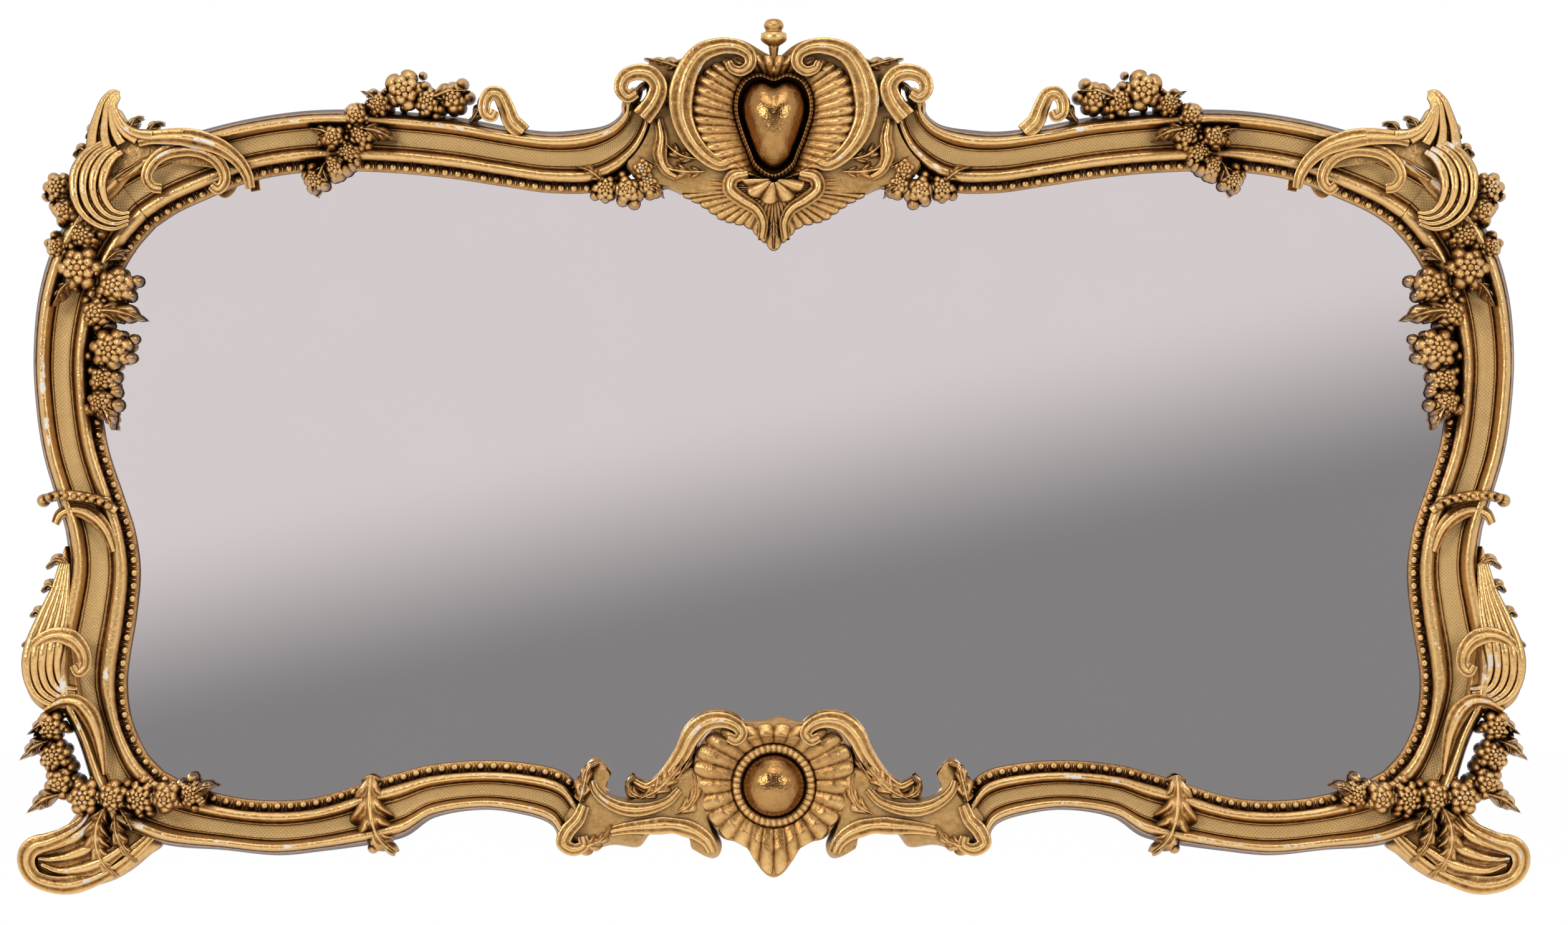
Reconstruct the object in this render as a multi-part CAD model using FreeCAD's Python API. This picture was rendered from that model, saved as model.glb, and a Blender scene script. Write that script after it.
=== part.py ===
"""Giltwood wall mirror: a serpentine moulding, a pierced crest and a shell cartouche below.

The back of the frame lies in the plane y = 0 and the carving faces -Y. The origin is on the back
of the crest board, on the centre line. Depths are measured forward from the back of the frame.
"""
import FreeCAD, Part
import math
import os

from FreeCAD import Vector

# Overall size, and the height of the origin as a share of it
WIDTH = 1800.0
HEIGHT = 1045.0
ORIGIN_SHARE = 0.87

# Plate, packing blocks and backboards in the stepped rebate
PLATE_THICKNESS = 5.0
BLOCK_THICKNESS = 7.0
BLOCK_LENGTH = 18.0
BLOCK_WIDTH = 5.0
BOARD_THICKNESS = 10.0
BOARD_SETBACK = 2.0
BOARD_GAP = 1.0
BOARD_COUNT = 3
PLATE_LIP = 12.0
BOARD_LIP = 13.0
PLATE_CLEARANCE = 2.0

# Moulding: each rise is measured forward from the ledge that carries the beads
LIP_THICKNESS = 10.0
LEDGE_WIDTH = 12.0
RISER_RISE = 8.0
INNER_RIDGE_RISE = 17.0
INNER_FOOT_RISE = 11.0
HOLLOW_RISE = 5.0
OUTER_FOOT_RISE = 14.0
OUTER_RIDGE_RISE = 28.0
SHOULDER_RISE = 20.0
OUTER_EDGE_DEPTH = 14.0

# Bead string
BEAD_RADIUS = 5.0
BEAD_PITCH = 15.5
BEAD_CLEARANCE = 0.4
FOOTPRINT_POINTS = 160

# Depths of the fronts of the carvings, and sizes of their repeated forms
CREST_BOARD_DEPTH = 50.0
CREST_BOSS_DEPTH = 98.0
LAMBREQUIN_DEPTH = 46.0
APRON_BOARD_DEPTH = 48.0
NECK_DEPTH = 54.0
SHOULDER_SCROLL_DEPTH = 74.0
RAIL_CURL_DEPTH = 76.0
CORNER_LEAF_DEPTH = 82.0
STILE_LEAF_DEPTH = 70.0
COLLAR_DEPTH = 72.0
CLASP_DEPTH = 72.0
FOOT_DEPTH = 66.0
SPRAY_DEPTH = 80.0
CREST_SPRAY_DEPTH = 62.0
ROSE_RADIUS = 22.0
CREST_SCROLL_RADIUS = 8.5
CORNER_SCROLL_RADIUS = 11.0
APRON_SCROLL_RADIUS = 10.0
RIB_COUNT = 9
RIB_CLEARANCE = 0.6
APRON_BALL_RADIUS = 34.0
APRON_RING_RADIUS = 47.0
APRON_RING_RISE = 6.0
APRON_BALL_CLEARANCE = 0.4
FINIAL_RADIUS = 12.0

# Dowels, screws and hangers
DOWEL_RADIUS = 5.0
DOWEL_LENGTH = 60.0
DOWEL_DEPTH = 20.0
DOWEL_CLEARANCE = 0.1
BOARD_SCREW_RADIUS = 2.0
BOARD_SCREW_HEAD_RADIUS = 4.0
BOARD_SCREW_LENGTH = 26.0
HANGER_SCREW_RADIUS = 1.9
HANGER_SCREW_HEAD_RADIUS = 3.5
HANGER_SCREW_LENGTH = 18.0
SCREW_CLEARANCE = 0.1
STRAP_WIDTH = 16.0
STRAP_LENGTH = 48.0
STRAP_THICKNESS = 1.6
RING_WIRE_RADIUS = 2.0
RING_WIDTH = 34.0
RING_REACH = 30.0
RING_CORNER_RADIUS = 6.0
RING_CLEARANCE = 0.3
OVERRUN = 2.0
GROUND_SPAN = 3

# Sizes that follow from the ones above
HALF_WIDTH = WIDTH / 2
BOARD_DEPTH = BOARD_SETBACK + BOARD_THICKNESS
PLATE_DEPTH = BOARD_DEPTH + BLOCK_THICKNESS + PLATE_THICKNESS
LEDGE_DEPTH = PLATE_DEPTH + LIP_THICKNESS
CARVING_SEAT = PLATE_DEPTH + LIP_THICKNESS / 2
BOARD_REACH = PLATE_LIP + BOARD_LIP

# Places across the moulding, as shares of its width outside the bead ledge
INNER_RIDGE_SHARE = 0.08
INNER_FOOT_SHARE = 0.17
HOLLOW_SHARE = 0.40
OUTER_FOOT_SHARE = 0.62
OUTER_RIDGE_SHARE = 0.75
SHOULDER_SHARE = 0.87
FALL_SHARE = 0.955
FALL_RISE_SHARE = 0.62

# Stations of the moulding, left half: sight edge x and z, then outer edge x and z, as shares of the
# half width and of the height. A rail runs through its stations, and neighbours share their last one.
CORNER_TOP_SHARES = (0.820, 0.762, 0.880, 0.830)
COLLAR_SHARES = (0.862, 0.455, 0.953, 0.452)
CORNER_BOTTOM_SHARES = (0.808, 0.140, 0.885, 0.078)
CLASP_SHARES = (0.530, 0.131, 0.525, 0.057)
TOP_RAIL_SHARES = (
    (0.148, 0.905, 0.199, 0.905), (0.153, 0.868, 0.205, 0.890), (0.176, 0.833, 0.224, 0.879),
    (0.222, 0.805, 0.258, 0.874), (0.290, 0.801, 0.300, 0.872), (0.360, 0.809, 0.355, 0.878),
    (0.430, 0.818, 0.425, 0.889), (0.520, 0.825, 0.520, 0.896), (0.610, 0.8255, 0.615, 0.896),
    (0.690, 0.815, 0.705, 0.885), (0.755, 0.793, 0.788, 0.866), (0.792, 0.778, 0.838, 0.849),
    CORNER_TOP_SHARES)
UPPER_STILE_SHARES = (
    CORNER_TOP_SHARES, (0.845, 0.737, 0.920, 0.795), (0.865, 0.707, 0.955, 0.745),
    (0.884, 0.662, 0.976, 0.685), (0.894, 0.610, 0.983, 0.615), (0.891, 0.555, 0.979, 0.553),
    (0.882, 0.508, 0.970, 0.503), COLLAR_SHARES)
LOWER_STILE_SHARES = (
    COLLAR_SHARES, (0.847, 0.415, 0.940, 0.413), (0.840, 0.370, 0.937, 0.372),
    (0.845, 0.318, 0.948, 0.325), (0.854, 0.270, 0.960, 0.275), (0.857, 0.238, 0.955, 0.228),
    (0.851, 0.200, 0.925, 0.178), (0.832, 0.163, 0.905, 0.125), CORNER_BOTTOM_SHARES)
BOTTOM_RAIL_SHARES = (
    CORNER_BOTTOM_SHARES, (0.770, 0.124, 0.808, 0.056), (0.715, 0.111, 0.730, 0.050),
    (0.655, 0.107, 0.658, 0.044), (0.600, 0.112, 0.596, 0.049), CLASP_SHARES)
ARCH_SHARES = (
    CLASP_SHARES, (0.497, 0.139, 0.487, 0.066), (0.455, 0.148, 0.450, 0.087),
    (0.385, 0.153, 0.385, 0.096), (0.320, 0.149, 0.330, 0.090), (0.275, 0.138, 0.296, 0.079),
    (0.248, 0.112, 0.283, 0.060))
# Where the plate's edge crosses behind the crest and behind the cartouche
CREST_CROSSING_SHARES = (
    (0.0, 0.797, 0.0, 0.870), (0.150, 0.797, 0.150, 0.870), (0.285, 0.797, 0.292, 0.868))
APRON_CROSSING_SHARES = (
    (0.250, 0.121, 0.285, 0.069), (0.205, 0.107, 0.205, 0.050), (0.110, 0.104, 0.110, 0.050))
APRON_MIDDLE_SHARES = (0.0, 0.104, 0.0, 0.050)
CREST_RAIL_START = 5
POCKET_SHARE = 0.32
LAMBREQUIN_TOP_SHARE = 0.800

# Outlines of the carvings, left half, as shares of the half width and of the height
CREST_BOARD_SHARES = (
    (0.000, 0.955), (0.020, 0.964), (0.042, 0.974), (0.062, 0.976), (0.082, 0.972), (0.100, 0.962),
    (0.120, 0.954), (0.138, 0.949), (0.160, 0.953), (0.168, 0.930), (0.168, 0.900), (0.175, 0.868),
    (0.196, 0.838), (0.180, 0.816), (0.140, 0.806), (0.100, 0.790), (0.050, 0.786), (0.000, 0.784))
CREST_BOSS_SHARES = (
    (0.000, 0.926), (0.018, 0.931), (0.036, 0.925), (0.046, 0.908), (0.047, 0.890), (0.040, 0.868),
    (0.031, 0.848), (0.022, 0.831), (0.000, 0.820))
LAMBREQUIN_SHARES = (
    (0.000, 0.826), (0.060, 0.826), (0.115, 0.820), (0.131, 0.808), (0.120, 0.797), (0.100, 0.788),
    (0.085, 0.779), (0.070, 0.770), (0.054, 0.766), (0.036, 0.762), (0.022, 0.752), (0.013, 0.744),
    (0.000, 0.735))
CREST_SCROLL_SHARES = (
    (0.052, 0.836), (0.062, 0.828), (0.078, 0.829), (0.093, 0.841), (0.106, 0.860), (0.115, 0.884),
    (0.116, 0.908), (0.110, 0.932), (0.099, 0.952), (0.083, 0.966), (0.064, 0.969), (0.048, 0.962),
    (0.041, 0.949), (0.048, 0.937), (0.062, 0.936))
SHOULDER_SCROLL_SHARES = (
    (0.199, 0.900), (0.206, 0.918), (0.202, 0.932), (0.190, 0.939), (0.170, 0.935), (0.152, 0.926),
    (0.142, 0.912), (0.150, 0.895), (0.175, 0.890))
RAIL_CURL_SHARES = (
    (0.353, 0.906), (0.346, 0.888), (0.332, 0.876), (0.340, 0.864), (0.368, 0.862), (0.396, 0.872),
    (0.394, 0.884), (0.388, 0.898), (0.381, 0.914), (0.368, 0.920), (0.357, 0.916))
CORNER_LEAF_SHARES = (
    (0.868, 0.917), (0.855, 0.912), (0.860, 0.900), (0.853, 0.886), (0.842, 0.878), (0.832, 0.884),
    (0.817, 0.874), (0.795, 0.866), (0.800, 0.850), (0.826, 0.845), (0.852, 0.846), (0.880, 0.842),
    (0.896, 0.826), (0.899, 0.806), (0.890, 0.787), (0.870, 0.777), (0.851, 0.777), (0.847, 0.766),
    (0.865, 0.758), (0.893, 0.763), (0.915, 0.778), (0.926, 0.803), (0.926, 0.829), (0.918, 0.847),
    (0.907, 0.858), (0.900, 0.872), (0.892, 0.890), (0.882, 0.905))
CORNER_SCROLL_SHARES = (
    (0.820, 0.862), (0.795, 0.861), (0.765, 0.855), (0.738, 0.844), (0.716, 0.828), (0.706, 0.812),
    (0.714, 0.801), (0.728, 0.806), (0.729, 0.818))
CORNER_LOOP_SHARES = (
    (0.826, 0.856), (0.834, 0.840), (0.833, 0.822), (0.824, 0.808), (0.810, 0.802))
STILE_LEAF_SHARES = (
    (0.944, 0.387), (0.960, 0.374), (0.948, 0.363), (0.955, 0.345), (0.964, 0.333), (0.968, 0.320),
    (0.982, 0.302), (0.992, 0.280), (0.995, 0.252), (0.989, 0.231), (0.975, 0.217), (0.956, 0.213),
    (0.934, 0.220), (0.917, 0.238), (0.904, 0.262), (0.909, 0.283), (0.924, 0.294), (0.931, 0.312),
    (0.931, 0.340), (0.930, 0.368))
COLLAR_OUTLINE_SHARES = (
    (0.962, 0.462), (0.968, 0.452), (0.962, 0.443), (0.930, 0.439), (0.900, 0.434), (0.876, 0.432),
    (0.873, 0.446), (0.880, 0.458), (0.905, 0.464), (0.935, 0.466))
CLASP_OUTLINE_SHARES = (
    (0.555, 0.124), (0.559, 0.098), (0.555, 0.072), (0.544, 0.048), (0.530, 0.055), (0.512, 0.049),
    (0.498, 0.046), (0.488, 0.052), (0.491, 0.068), (0.502, 0.086), (0.506, 0.110), (0.515, 0.132),
    (0.536, 0.137))
FOOT_SHARES = (
    (0.922, 0.094), (0.936, 0.080), (0.952, 0.070), (0.972, 0.065), (0.988, 0.061), (0.998, 0.051),
    (0.999, 0.036), (0.991, 0.019), (0.976, 0.008), (0.958, 0.002), (0.938, 0.001), (0.915, 0.006),
    (0.890, 0.012), (0.868, 0.019), (0.848, 0.030), (0.829, 0.044), (0.812, 0.056), (0.822, 0.078),
    (0.850, 0.096), (0.882, 0.110), (0.906, 0.107))
NECK_SHARES = (
    (0.256, 0.130), (0.247, 0.150), (0.235, 0.157), (0.226, 0.150), (0.231, 0.138), (0.231, 0.124),
    (0.219, 0.115), (0.200, 0.111), (0.182, 0.116), (0.162, 0.126), (0.140, 0.141), (0.112, 0.150),
    (0.086, 0.140), (0.080, 0.105), (0.076, 0.072), (0.069, 0.054), (0.078, 0.042), (0.090, 0.045),
    (0.094, 0.058), (0.110, 0.069), (0.140, 0.073), (0.165, 0.068), (0.176, 0.056), (0.200, 0.056),
    (0.220, 0.056), (0.240, 0.050), (0.262, 0.049), (0.282, 0.058), (0.288, 0.074), (0.272, 0.102))
APRON_BOARD_SHARES = (
    (0.000, 0.202), (0.030, 0.198), (0.062, 0.198), (0.088, 0.186), (0.104, 0.162), (0.106, 0.132),
    (0.096, 0.102), (0.080, 0.079), (0.063, 0.064), (0.046, 0.061), (0.034, 0.053), (0.021, 0.035),
    (0.000, 0.021))
APRON_SCROLL_SHARES = (
    (0.168, 0.121), (0.150, 0.132), (0.134, 0.147), (0.121, 0.164), (0.109, 0.184), (0.092, 0.198),
    (0.070, 0.202), (0.051, 0.197), (0.042, 0.187), (0.049, 0.178), (0.060, 0.181))
APRON_BALL_SHARES = (0.0, 0.126)
CREST_RIB_SHARES = (0.0, 0.880)

# Flowers: place as shares of half width and height, size as a share of ROSE_RADIUS
TOP_SPRAY_SHARES = (
    (0.487, 0.914, 1.15), (0.455, 0.903, 0.85), (0.425, 0.905, 0.85), (0.520, 0.898, 0.85),
    (0.549, 0.885, 0.80), (0.545, 0.866, 0.75), (0.573, 0.862, 0.80), (0.562, 0.846, 0.70),
    (0.580, 0.830, 0.65))
STILE_SPRAY_SHARES = (
    (0.943, 0.806, 0.85), (0.933, 0.780, 0.85), (0.910, 0.752, 0.95), (0.915, 0.714, 1.25),
    (0.869, 0.694, 1.05), (0.890, 0.664, 1.00), (0.874, 0.624, 1.20), (0.880, 0.585, 0.90),
    (0.887, 0.560, 0.80))
FOOT_SPRAY_SHARES = (
    (0.953, 0.193, 0.95), (0.948, 0.162, 0.95), (0.941, 0.130, 0.95), (0.908, 0.114, 1.10),
    (0.872, 0.112, 1.00), (0.836, 0.112, 1.00), (0.800, 0.114, 0.95), (0.768, 0.117, 0.85))
CREST_SPRAY_SHARES = (
    (0.222, 0.806, 0.75), (0.194, 0.804, 0.80), (0.166, 0.812, 0.80), (0.172, 0.827, 0.75))
# Leaves: root and tip as shares of half width and height
TOP_SPRAY_LEAF_SHARES = ((0.590, 0.833, 0.607, 0.797), (0.545, 0.872, 0.497, 0.858))
STILE_SPRAY_LEAF_SHARES = ((0.895, 0.666, 0.831, 0.655), (0.880, 0.575, 0.874, 0.536))
FOOT_SPRAY_LEAF_SHARES = (
    (0.955, 0.178, 0.994, 0.155), (0.948, 0.200, 0.984, 0.184), (0.940, 0.118, 0.985, 0.095))
CREST_SPRAY_LEAF_SHARES = ((0.224, 0.812, 0.262, 0.826),)
LEAF_WIDTH_SHARE = 0.22
PETAL_COUNT = 5
PETAL_NOTCH_SHARE = 0.80
PETAL_FRONT_SHARE = 0.70
PETAL_WALL_SHARE = 0.75
HEART_SHARE = 0.30

# Relief: share of the way to the front, and size of the outline there
BOARD_RELIEF_SHARES = ((0.0, 1.0), (0.92, 1.0), (1.0, 0.985))
LEAF_RELIEF_SHARES = ((0.0, 1.0), (0.55, 1.0), (0.85, 0.94), (1.0, 0.80))
DOME_RELIEF_SHARES = ((0.0, 1.0), (0.35, 0.98), (0.65, 0.88), (0.88, 0.66), (1.0, 0.30))
SCROLL_TAPER_SHARES = (0.45, 1.0, 0.75)
FINIAL_DROP_SHARES = ((0.00, 0.931), (0.55, 0.937), (0.75, 0.944), (0.40, 0.953), (0.55, 0.967))
FINIAL_KNOB_SHARES = (
    (0.55, 0.967), (1.30, 0.974), (1.30, 0.980), (0.80, 0.984), (1.00, 0.990), (0.70, 0.996), (0.00, 0.998))
HANGER_SHARES = (0.945, 0.640)
DOWEL_PLACE_SHARE = 0.62
RIB_SPREAD_DEGREES = 55.0
RIB_START_SHARE = 0.067
RIB_END_SHARE = 0.101
CREST_DOWEL_SHARES = (0.152, 0.888)
HANGER_SCREW_SHARES = (0.30, 0.78)

LEFT = -1
RIGHT = 1
BACKWARD = Vector(0, 1, 0)
FORWARD = Vector(0, -1, 0)
MIDDLE = Vector(0, 0, 0)
ACROSS = Vector(1, 0, 0)
UPWARD = Vector(0, 0, 1)


def place(x_share, z_share, depth=0.0):
    """Point of the left half at these shares of half width and height, this far forward."""
    return Vector(LEFT * x_share * HALF_WIDTH, -depth, (z_share - ORIGIN_SHARE) * HEIGHT)


def mirrored(shape):
    """The same piece on the right-hand side."""
    return shape.mirror(MIDDLE, ACROSS)


def station_ends(station):
    """Sight edge, outer edge and the unit vector between them."""
    inner = place(station[0], station[1])
    outer = place(station[2], station[3])
    across = (outer - inner).normalize()
    return inner, outer, across


def smooth_wire(points, closed, span=0):
    """Smooth curve through the points, as one edge or as edges of this many points."""
    curve = Part.BSplineCurve()
    curve.interpolate(points, PeriodicFlag=closed)
    if not span:
        return Part.Wire([curve.toShape()])
    knots = curve.getKnots()
    marks = knots[:-1:span] + knots[-1:]
    return Part.Wire([curve.toShape(start, end) for start, end in zip(marks, marks[1:])])


def moulding_section(station):
    """Closed section of the moulding at a station, with the stepped rebate at its back."""
    inner, outer, across = station_ends(station)
    width = (outer - inner).Length

    def point(reach, depth):
        return inner + across * reach + FORWARD * depth

    def on_face(share, rise):
        return point(LEDGE_WIDTH + share * (width - LEDGE_WIDTH), LEDGE_DEPTH + rise)

    shoulder_depth = LEDGE_DEPTH + SHOULDER_RISE
    fall_rise = OUTER_EDGE_DEPTH + FALL_RISE_SHARE * (shoulder_depth - OUTER_EDGE_DEPTH) - LEDGE_DEPTH
    edge = point(width, OUTER_EDGE_DEPTH)
    shoulder = on_face(SHOULDER_SHARE, SHOULDER_RISE)
    outer_foot = on_face(OUTER_FOOT_SHARE, OUTER_FOOT_RISE)
    inner_foot = on_face(INNER_FOOT_SHARE, INNER_FOOT_RISE)
    riser_top = on_face(0, RISER_RISE)
    rebate = [
        riser_top, on_face(0, 0), point(0, LEDGE_DEPTH), point(0, PLATE_DEPTH),
        point(PLATE_LIP, PLATE_DEPTH), point(PLATE_LIP, BOARD_DEPTH),
        point(BOARD_REACH, BOARD_DEPTH), point(BOARD_REACH, 0), point(width, 0), edge]
    curves = [
        Part.Arc(edge, on_face(FALL_SHARE, fall_rise), shoulder),
        Part.Arc(shoulder, on_face(OUTER_RIDGE_SHARE, OUTER_RIDGE_RISE), outer_foot),
        Part.Arc(outer_foot, on_face(HOLLOW_SHARE, HOLLOW_RISE), inner_foot),
        Part.Arc(inner_foot, on_face(INNER_RIDGE_SHARE, INNER_RIDGE_RISE), riser_top)]
    curves += [Part.LineSegment(a, b) for a, b in zip(rebate, rebate[1:])]
    return Part.Wire([curve.toShape() for curve in curves])


def moulding(stations):
    """Rail lofted through its stations."""
    return Part.makeLoft([moulding_section(station) for station in stations], True, False)


def sight_stations():
    """Stations round the left half of the plate, from the crest to the cartouche."""
    stations = CREST_CROSSING_SHARES + TOP_RAIL_SHARES[CREST_RAIL_START:] + UPPER_STILE_SHARES[1:]
    stations += LOWER_STILE_SHARES[1:] + BOTTOM_RAIL_SHARES[1:] + ARCH_SHARES[1:-1]
    return stations + APRON_CROSSING_SHARES + (APRON_MIDDLE_SHARES,)


def sight_ring(reach, depth):
    """Closed curve round the opening, this far outside the sight edge."""
    left = []
    for station in sight_stations():
        inner, _, across = station_ends(station)
        left.append(inner + across * reach + FORWARD * depth)
    right = [Vector(-point.x, point.y, point.z) for point in left[-2:0:-1]]
    return smooth_wire(left + right, True)


def slab(ring, thickness):
    """Flat plate from a closed curve, going backward."""
    return Part.Face(ring).extrude(BACKWARD * thickness)


def outline_points(shares, symmetric):
    """Points of an outline in the plane of the back; a symmetric one gets its right half."""
    left = [place(x, z) for x, z in shares]
    if not symmetric:
        return left
    return left + [Vector(-point.x, point.y, point.z) for point in left[-2:0:-1]]


def relief(shares, back, front, steps, symmetric=False, span=0):
    """Carved block: the outline goes forward and draws in towards its middle by steps."""
    points = outline_points(shares, symmetric)
    centre = MIDDLE
    for point in points:
        centre = centre + point * (1 / len(points))
    wires = []
    for way, size in steps:
        depth = FORWARD * (back + way * (front - back))
        row = [centre + (point - centre) * size + depth for point in points]
        wires.append(smooth_wire(row, True, span))
    return Part.makeLoft(wires, True, True)


def circle_across(point, along, radius):
    """Circle round a path, square to it."""
    across = BACKWARD.cross(along)
    circle = Part.Wire([Part.makeCircle(radius)])
    circle.Placement = FreeCAD.Placement(point, FreeCAD.Rotation(BACKWARD, across, along, "ZXY"))
    return circle


def scroll(shares, depth, radius):
    """Round scroll that tapers towards both its ends."""
    points = [place(x, z, depth) for x, z in shares]
    curve = Part.BSplineCurve()
    curve.interpolate(points)
    last = len(points) - 1
    start, body, end = SCROLL_TAPER_SHARES
    circles = []
    for index, point in enumerate(points):
        way = index / last
        bulge = math.sin(math.pi * way)
        size = start + (end - start) * way + (body - max(start, end)) * bulge
        along = curve.tangent(curve.parameter(point))[0]
        circles.append(circle_across(point, along, radius * size))
    return Part.makeLoft(circles, True, False)


def blossom(x_share, z_share, size, front):
    """Five-petalled flower with a round heart."""
    radius = size * ROSE_RADIUS
    wall = CARVING_SEAT + PETAL_WALL_SHARE * (front - CARVING_SEAT)
    wires = []
    for depth, scale in ((CARVING_SEAT, 1), (wall, 1), (front, PETAL_FRONT_SHARE)):
        middle = place(x_share, z_share, depth)
        arcs = []
        for petal in range(PETAL_COUNT):
            ends = []
            for turn, reach in ((0, PETAL_NOTCH_SHARE), (0.5, 1), (1, PETAL_NOTCH_SHARE)):
                angle = 2 * math.pi * (petal + turn) / PETAL_COUNT
                spoke = Vector(math.cos(angle), 0, math.sin(angle))
                ends.append(middle + spoke * (reach * scale * radius))
            arcs.append(Part.Arc(*ends).toShape())
        wires.append(Part.Wire(arcs))
    corolla = Part.makeLoft(wires, True, True)
    heart = Part.makeSphere(radius * HEART_SHARE, place(x_share, z_share, front))
    return corolla.fuse(heart)


def small_leaf(root_x, root_z, tip_x, tip_z, front):
    """Pointed leaf from root to tip, between two arcs."""
    wires = []
    wall = CARVING_SEAT + PETAL_WALL_SHARE * (front - CARVING_SEAT)
    for depth, scale in ((CARVING_SEAT, 1), (wall, 1), (front, PETAL_FRONT_SHARE)):
        root = place(root_x, root_z, depth)
        tip = place(tip_x, tip_z, depth)
        middle = (root + tip) / 2
        half = (tip - root) * (scale / 2)
        belly = half.cross(FORWARD) * (2 * LEAF_WIDTH_SHARE)
        upper = Part.Arc(middle - half, middle + belly, middle + half).toShape()
        lower = Part.Arc(middle + half, middle - belly, middle - half).toShape()
        wires.append(Part.Wire([upper, lower]))
    return Part.makeLoft(wires, True, True)


def spray(flowers, leaves, front):
    """Cluster of flowers and leaves, carved in one."""
    pieces = [blossom(x, z, size, front) for x, z, size in flowers]
    pieces += [small_leaf(*leaf, front) for leaf in leaves]
    return pieces[0].multiFuse(pieces[1:])


def seated(shape, neighbours):
    """The piece cut to sit on its neighbours; crumbs are dropped."""
    near = [other for other in neighbours if shape.BoundBox.intersect(other.BoundBox)]
    if near:
        shape = shape.cut(near)
    return max(shape.Solids, key=lambda solid: solid.Volume)


def footprints(shape):
    """Closed rows of points where the shape crosses the middle height of the beads."""
    wires = shape.slice(BACKWARD, -(LEDGE_DEPTH + BEAD_RADIUS / 2))
    return [wire.discretize(Number=FOOTPRINT_POINTS) for wire in wires]


def covers(loop, point):
    """Whether a bead at this point would stand inside the loop or run into its edge."""
    inside = False
    for a, b in zip(loop, loop[1:] + loop[:1]):
        if math.hypot(a.x - point.x, a.z - point.z) < BEAD_RADIUS + BEAD_CLEARANCE:
            return True
        if (a.z > point.z) != (b.z > point.z):
            crossing = a.x + (b.x - a.x) * (point.z - a.z) / (b.z - a.z)
            inside = inside != (crossing > point.x)
    return inside


def rails():
    """The five mouldings of the left half, by name."""
    return {
        "top_rail": moulding(TOP_RAIL_SHARES),
        "upper_stile": moulding(UPPER_STILE_SHARES),
        "lower_stile": moulding(LOWER_STILE_SHARES),
        "bottom_rail": moulding(BOTTOM_RAIL_SHARES),
        "bottom_arch": moulding(ARCH_SHARES)}


def rebate_pocket():
    """What the plate, blocks and boards take out of the boards of crest and cartouche."""
    top, _, _ = station_ends(CREST_CROSSING_SHARES[0])
    bottom, _, _ = station_ends(APRON_MIDDLE_SHARES)
    half = POCKET_SHARE * HALF_WIDTH
    rooms = []
    for lip, depth in ((PLATE_LIP, PLATE_DEPTH), (BOARD_REACH, BOARD_DEPTH)):
        reach = lip + PLATE_CLEARANCE
        corner = Vector(-half, -depth, bottom.z - reach)
        rooms.append(Part.makeBox(2 * half, depth + OVERRUN, top.z - bottom.z + 2 * reach, corner))
    return rooms


def crest_board(frame):
    """Ground of the crest, full thickness above the plate and thin in front of it."""
    board = relief(CREST_BOARD_SHARES, 0, CREST_BOARD_DEPTH, BOARD_RELIEF_SHARES, True, GROUND_SPAN)
    return seated(board, frame + rebate_pocket() + [crest_half(False)])


def crest_half(upper):
    """Box over all the crest above, or below, the straight joint with the lambrequin."""
    joint = place(POCKET_SHARE, LAMBREQUIN_TOP_SHARE, CREST_BOSS_DEPTH)
    height = POCKET_SHARE * HEIGHT
    if not upper:
        joint = joint - Vector(0, 0, height)
    return Part.makeBox(2 * POCKET_SHARE * HALF_WIDTH, CREST_BOSS_DEPTH + OVERRUN, height, joint)


def crest_lambrequin():
    """Pointed apron that hangs from the crest in front of the plate."""
    apron = relief(LAMBREQUIN_SHARES, CARVING_SEAT, LAMBREQUIN_DEPTH, LEAF_RELIEF_SHARES, True)
    return seated(apron, [crest_half(True)])


def crest_boss():
    """Pear-shaped polished boss on the crest."""
    return relief(CREST_BOSS_SHARES, CREST_BOARD_DEPTH, CREST_BOSS_DEPTH, DOME_RELIEF_SHARES, True)


def crest_shell():
    """Tapered ribs that fan out behind the boss, both sides."""
    pitch = math.radians(2 * RIB_SPREAD_DEGREES / (RIB_COUNT - 1))
    half = math.sin(pitch / 2)
    ribs = []
    for index in range(RIB_COUNT):
        angle = -math.radians(RIB_SPREAD_DEGREES) + index * pitch
        along = Vector(-math.cos(angle), 0, math.sin(angle))
        start = RIB_START_SHARE * HALF_WIDTH
        end = RIB_END_SHARE * HALF_WIDTH
        narrow = start * half - RIB_CLEARANCE
        broad = end * half - RIB_CLEARANCE
        root = place(*CREST_RIB_SHARES, CREST_BOARD_DEPTH) + along * start
        cone = Part.makeCone(narrow, broad, end - start, root, along)
        ribs.append(cone)
    return ribs


def turning(shares, degrees):
    """Turned form on the front of the crest board, from radius and height shares."""
    middle = [place(0, height, CREST_BOARD_DEPTH) for _, height in shares]
    points = [point + ACROSS * (size * FINIAL_RADIUS) for point, (size, _) in zip(middle, shares)]
    curve = Part.BSplineCurve()
    curve.interpolate(points)
    edges = [curve.toShape()]
    corners = [points[-1], middle[-1], middle[0], points[0]]
    for a, b in zip(corners, corners[1:]):
        if (b - a).Length > 0:
            edges.append(Part.LineSegment(a, b).toShape())
    return Part.Face(Part.Wire(edges)).revolve(middle[0], UPWARD, degrees)


def crest_finial():
    """Half-turned drop on the board, and the full-round knob that stands on it."""
    return [turning(FINIAL_DROP_SHARES, -180), turning(FINIAL_KNOB_SHARES, 360)]


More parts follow.
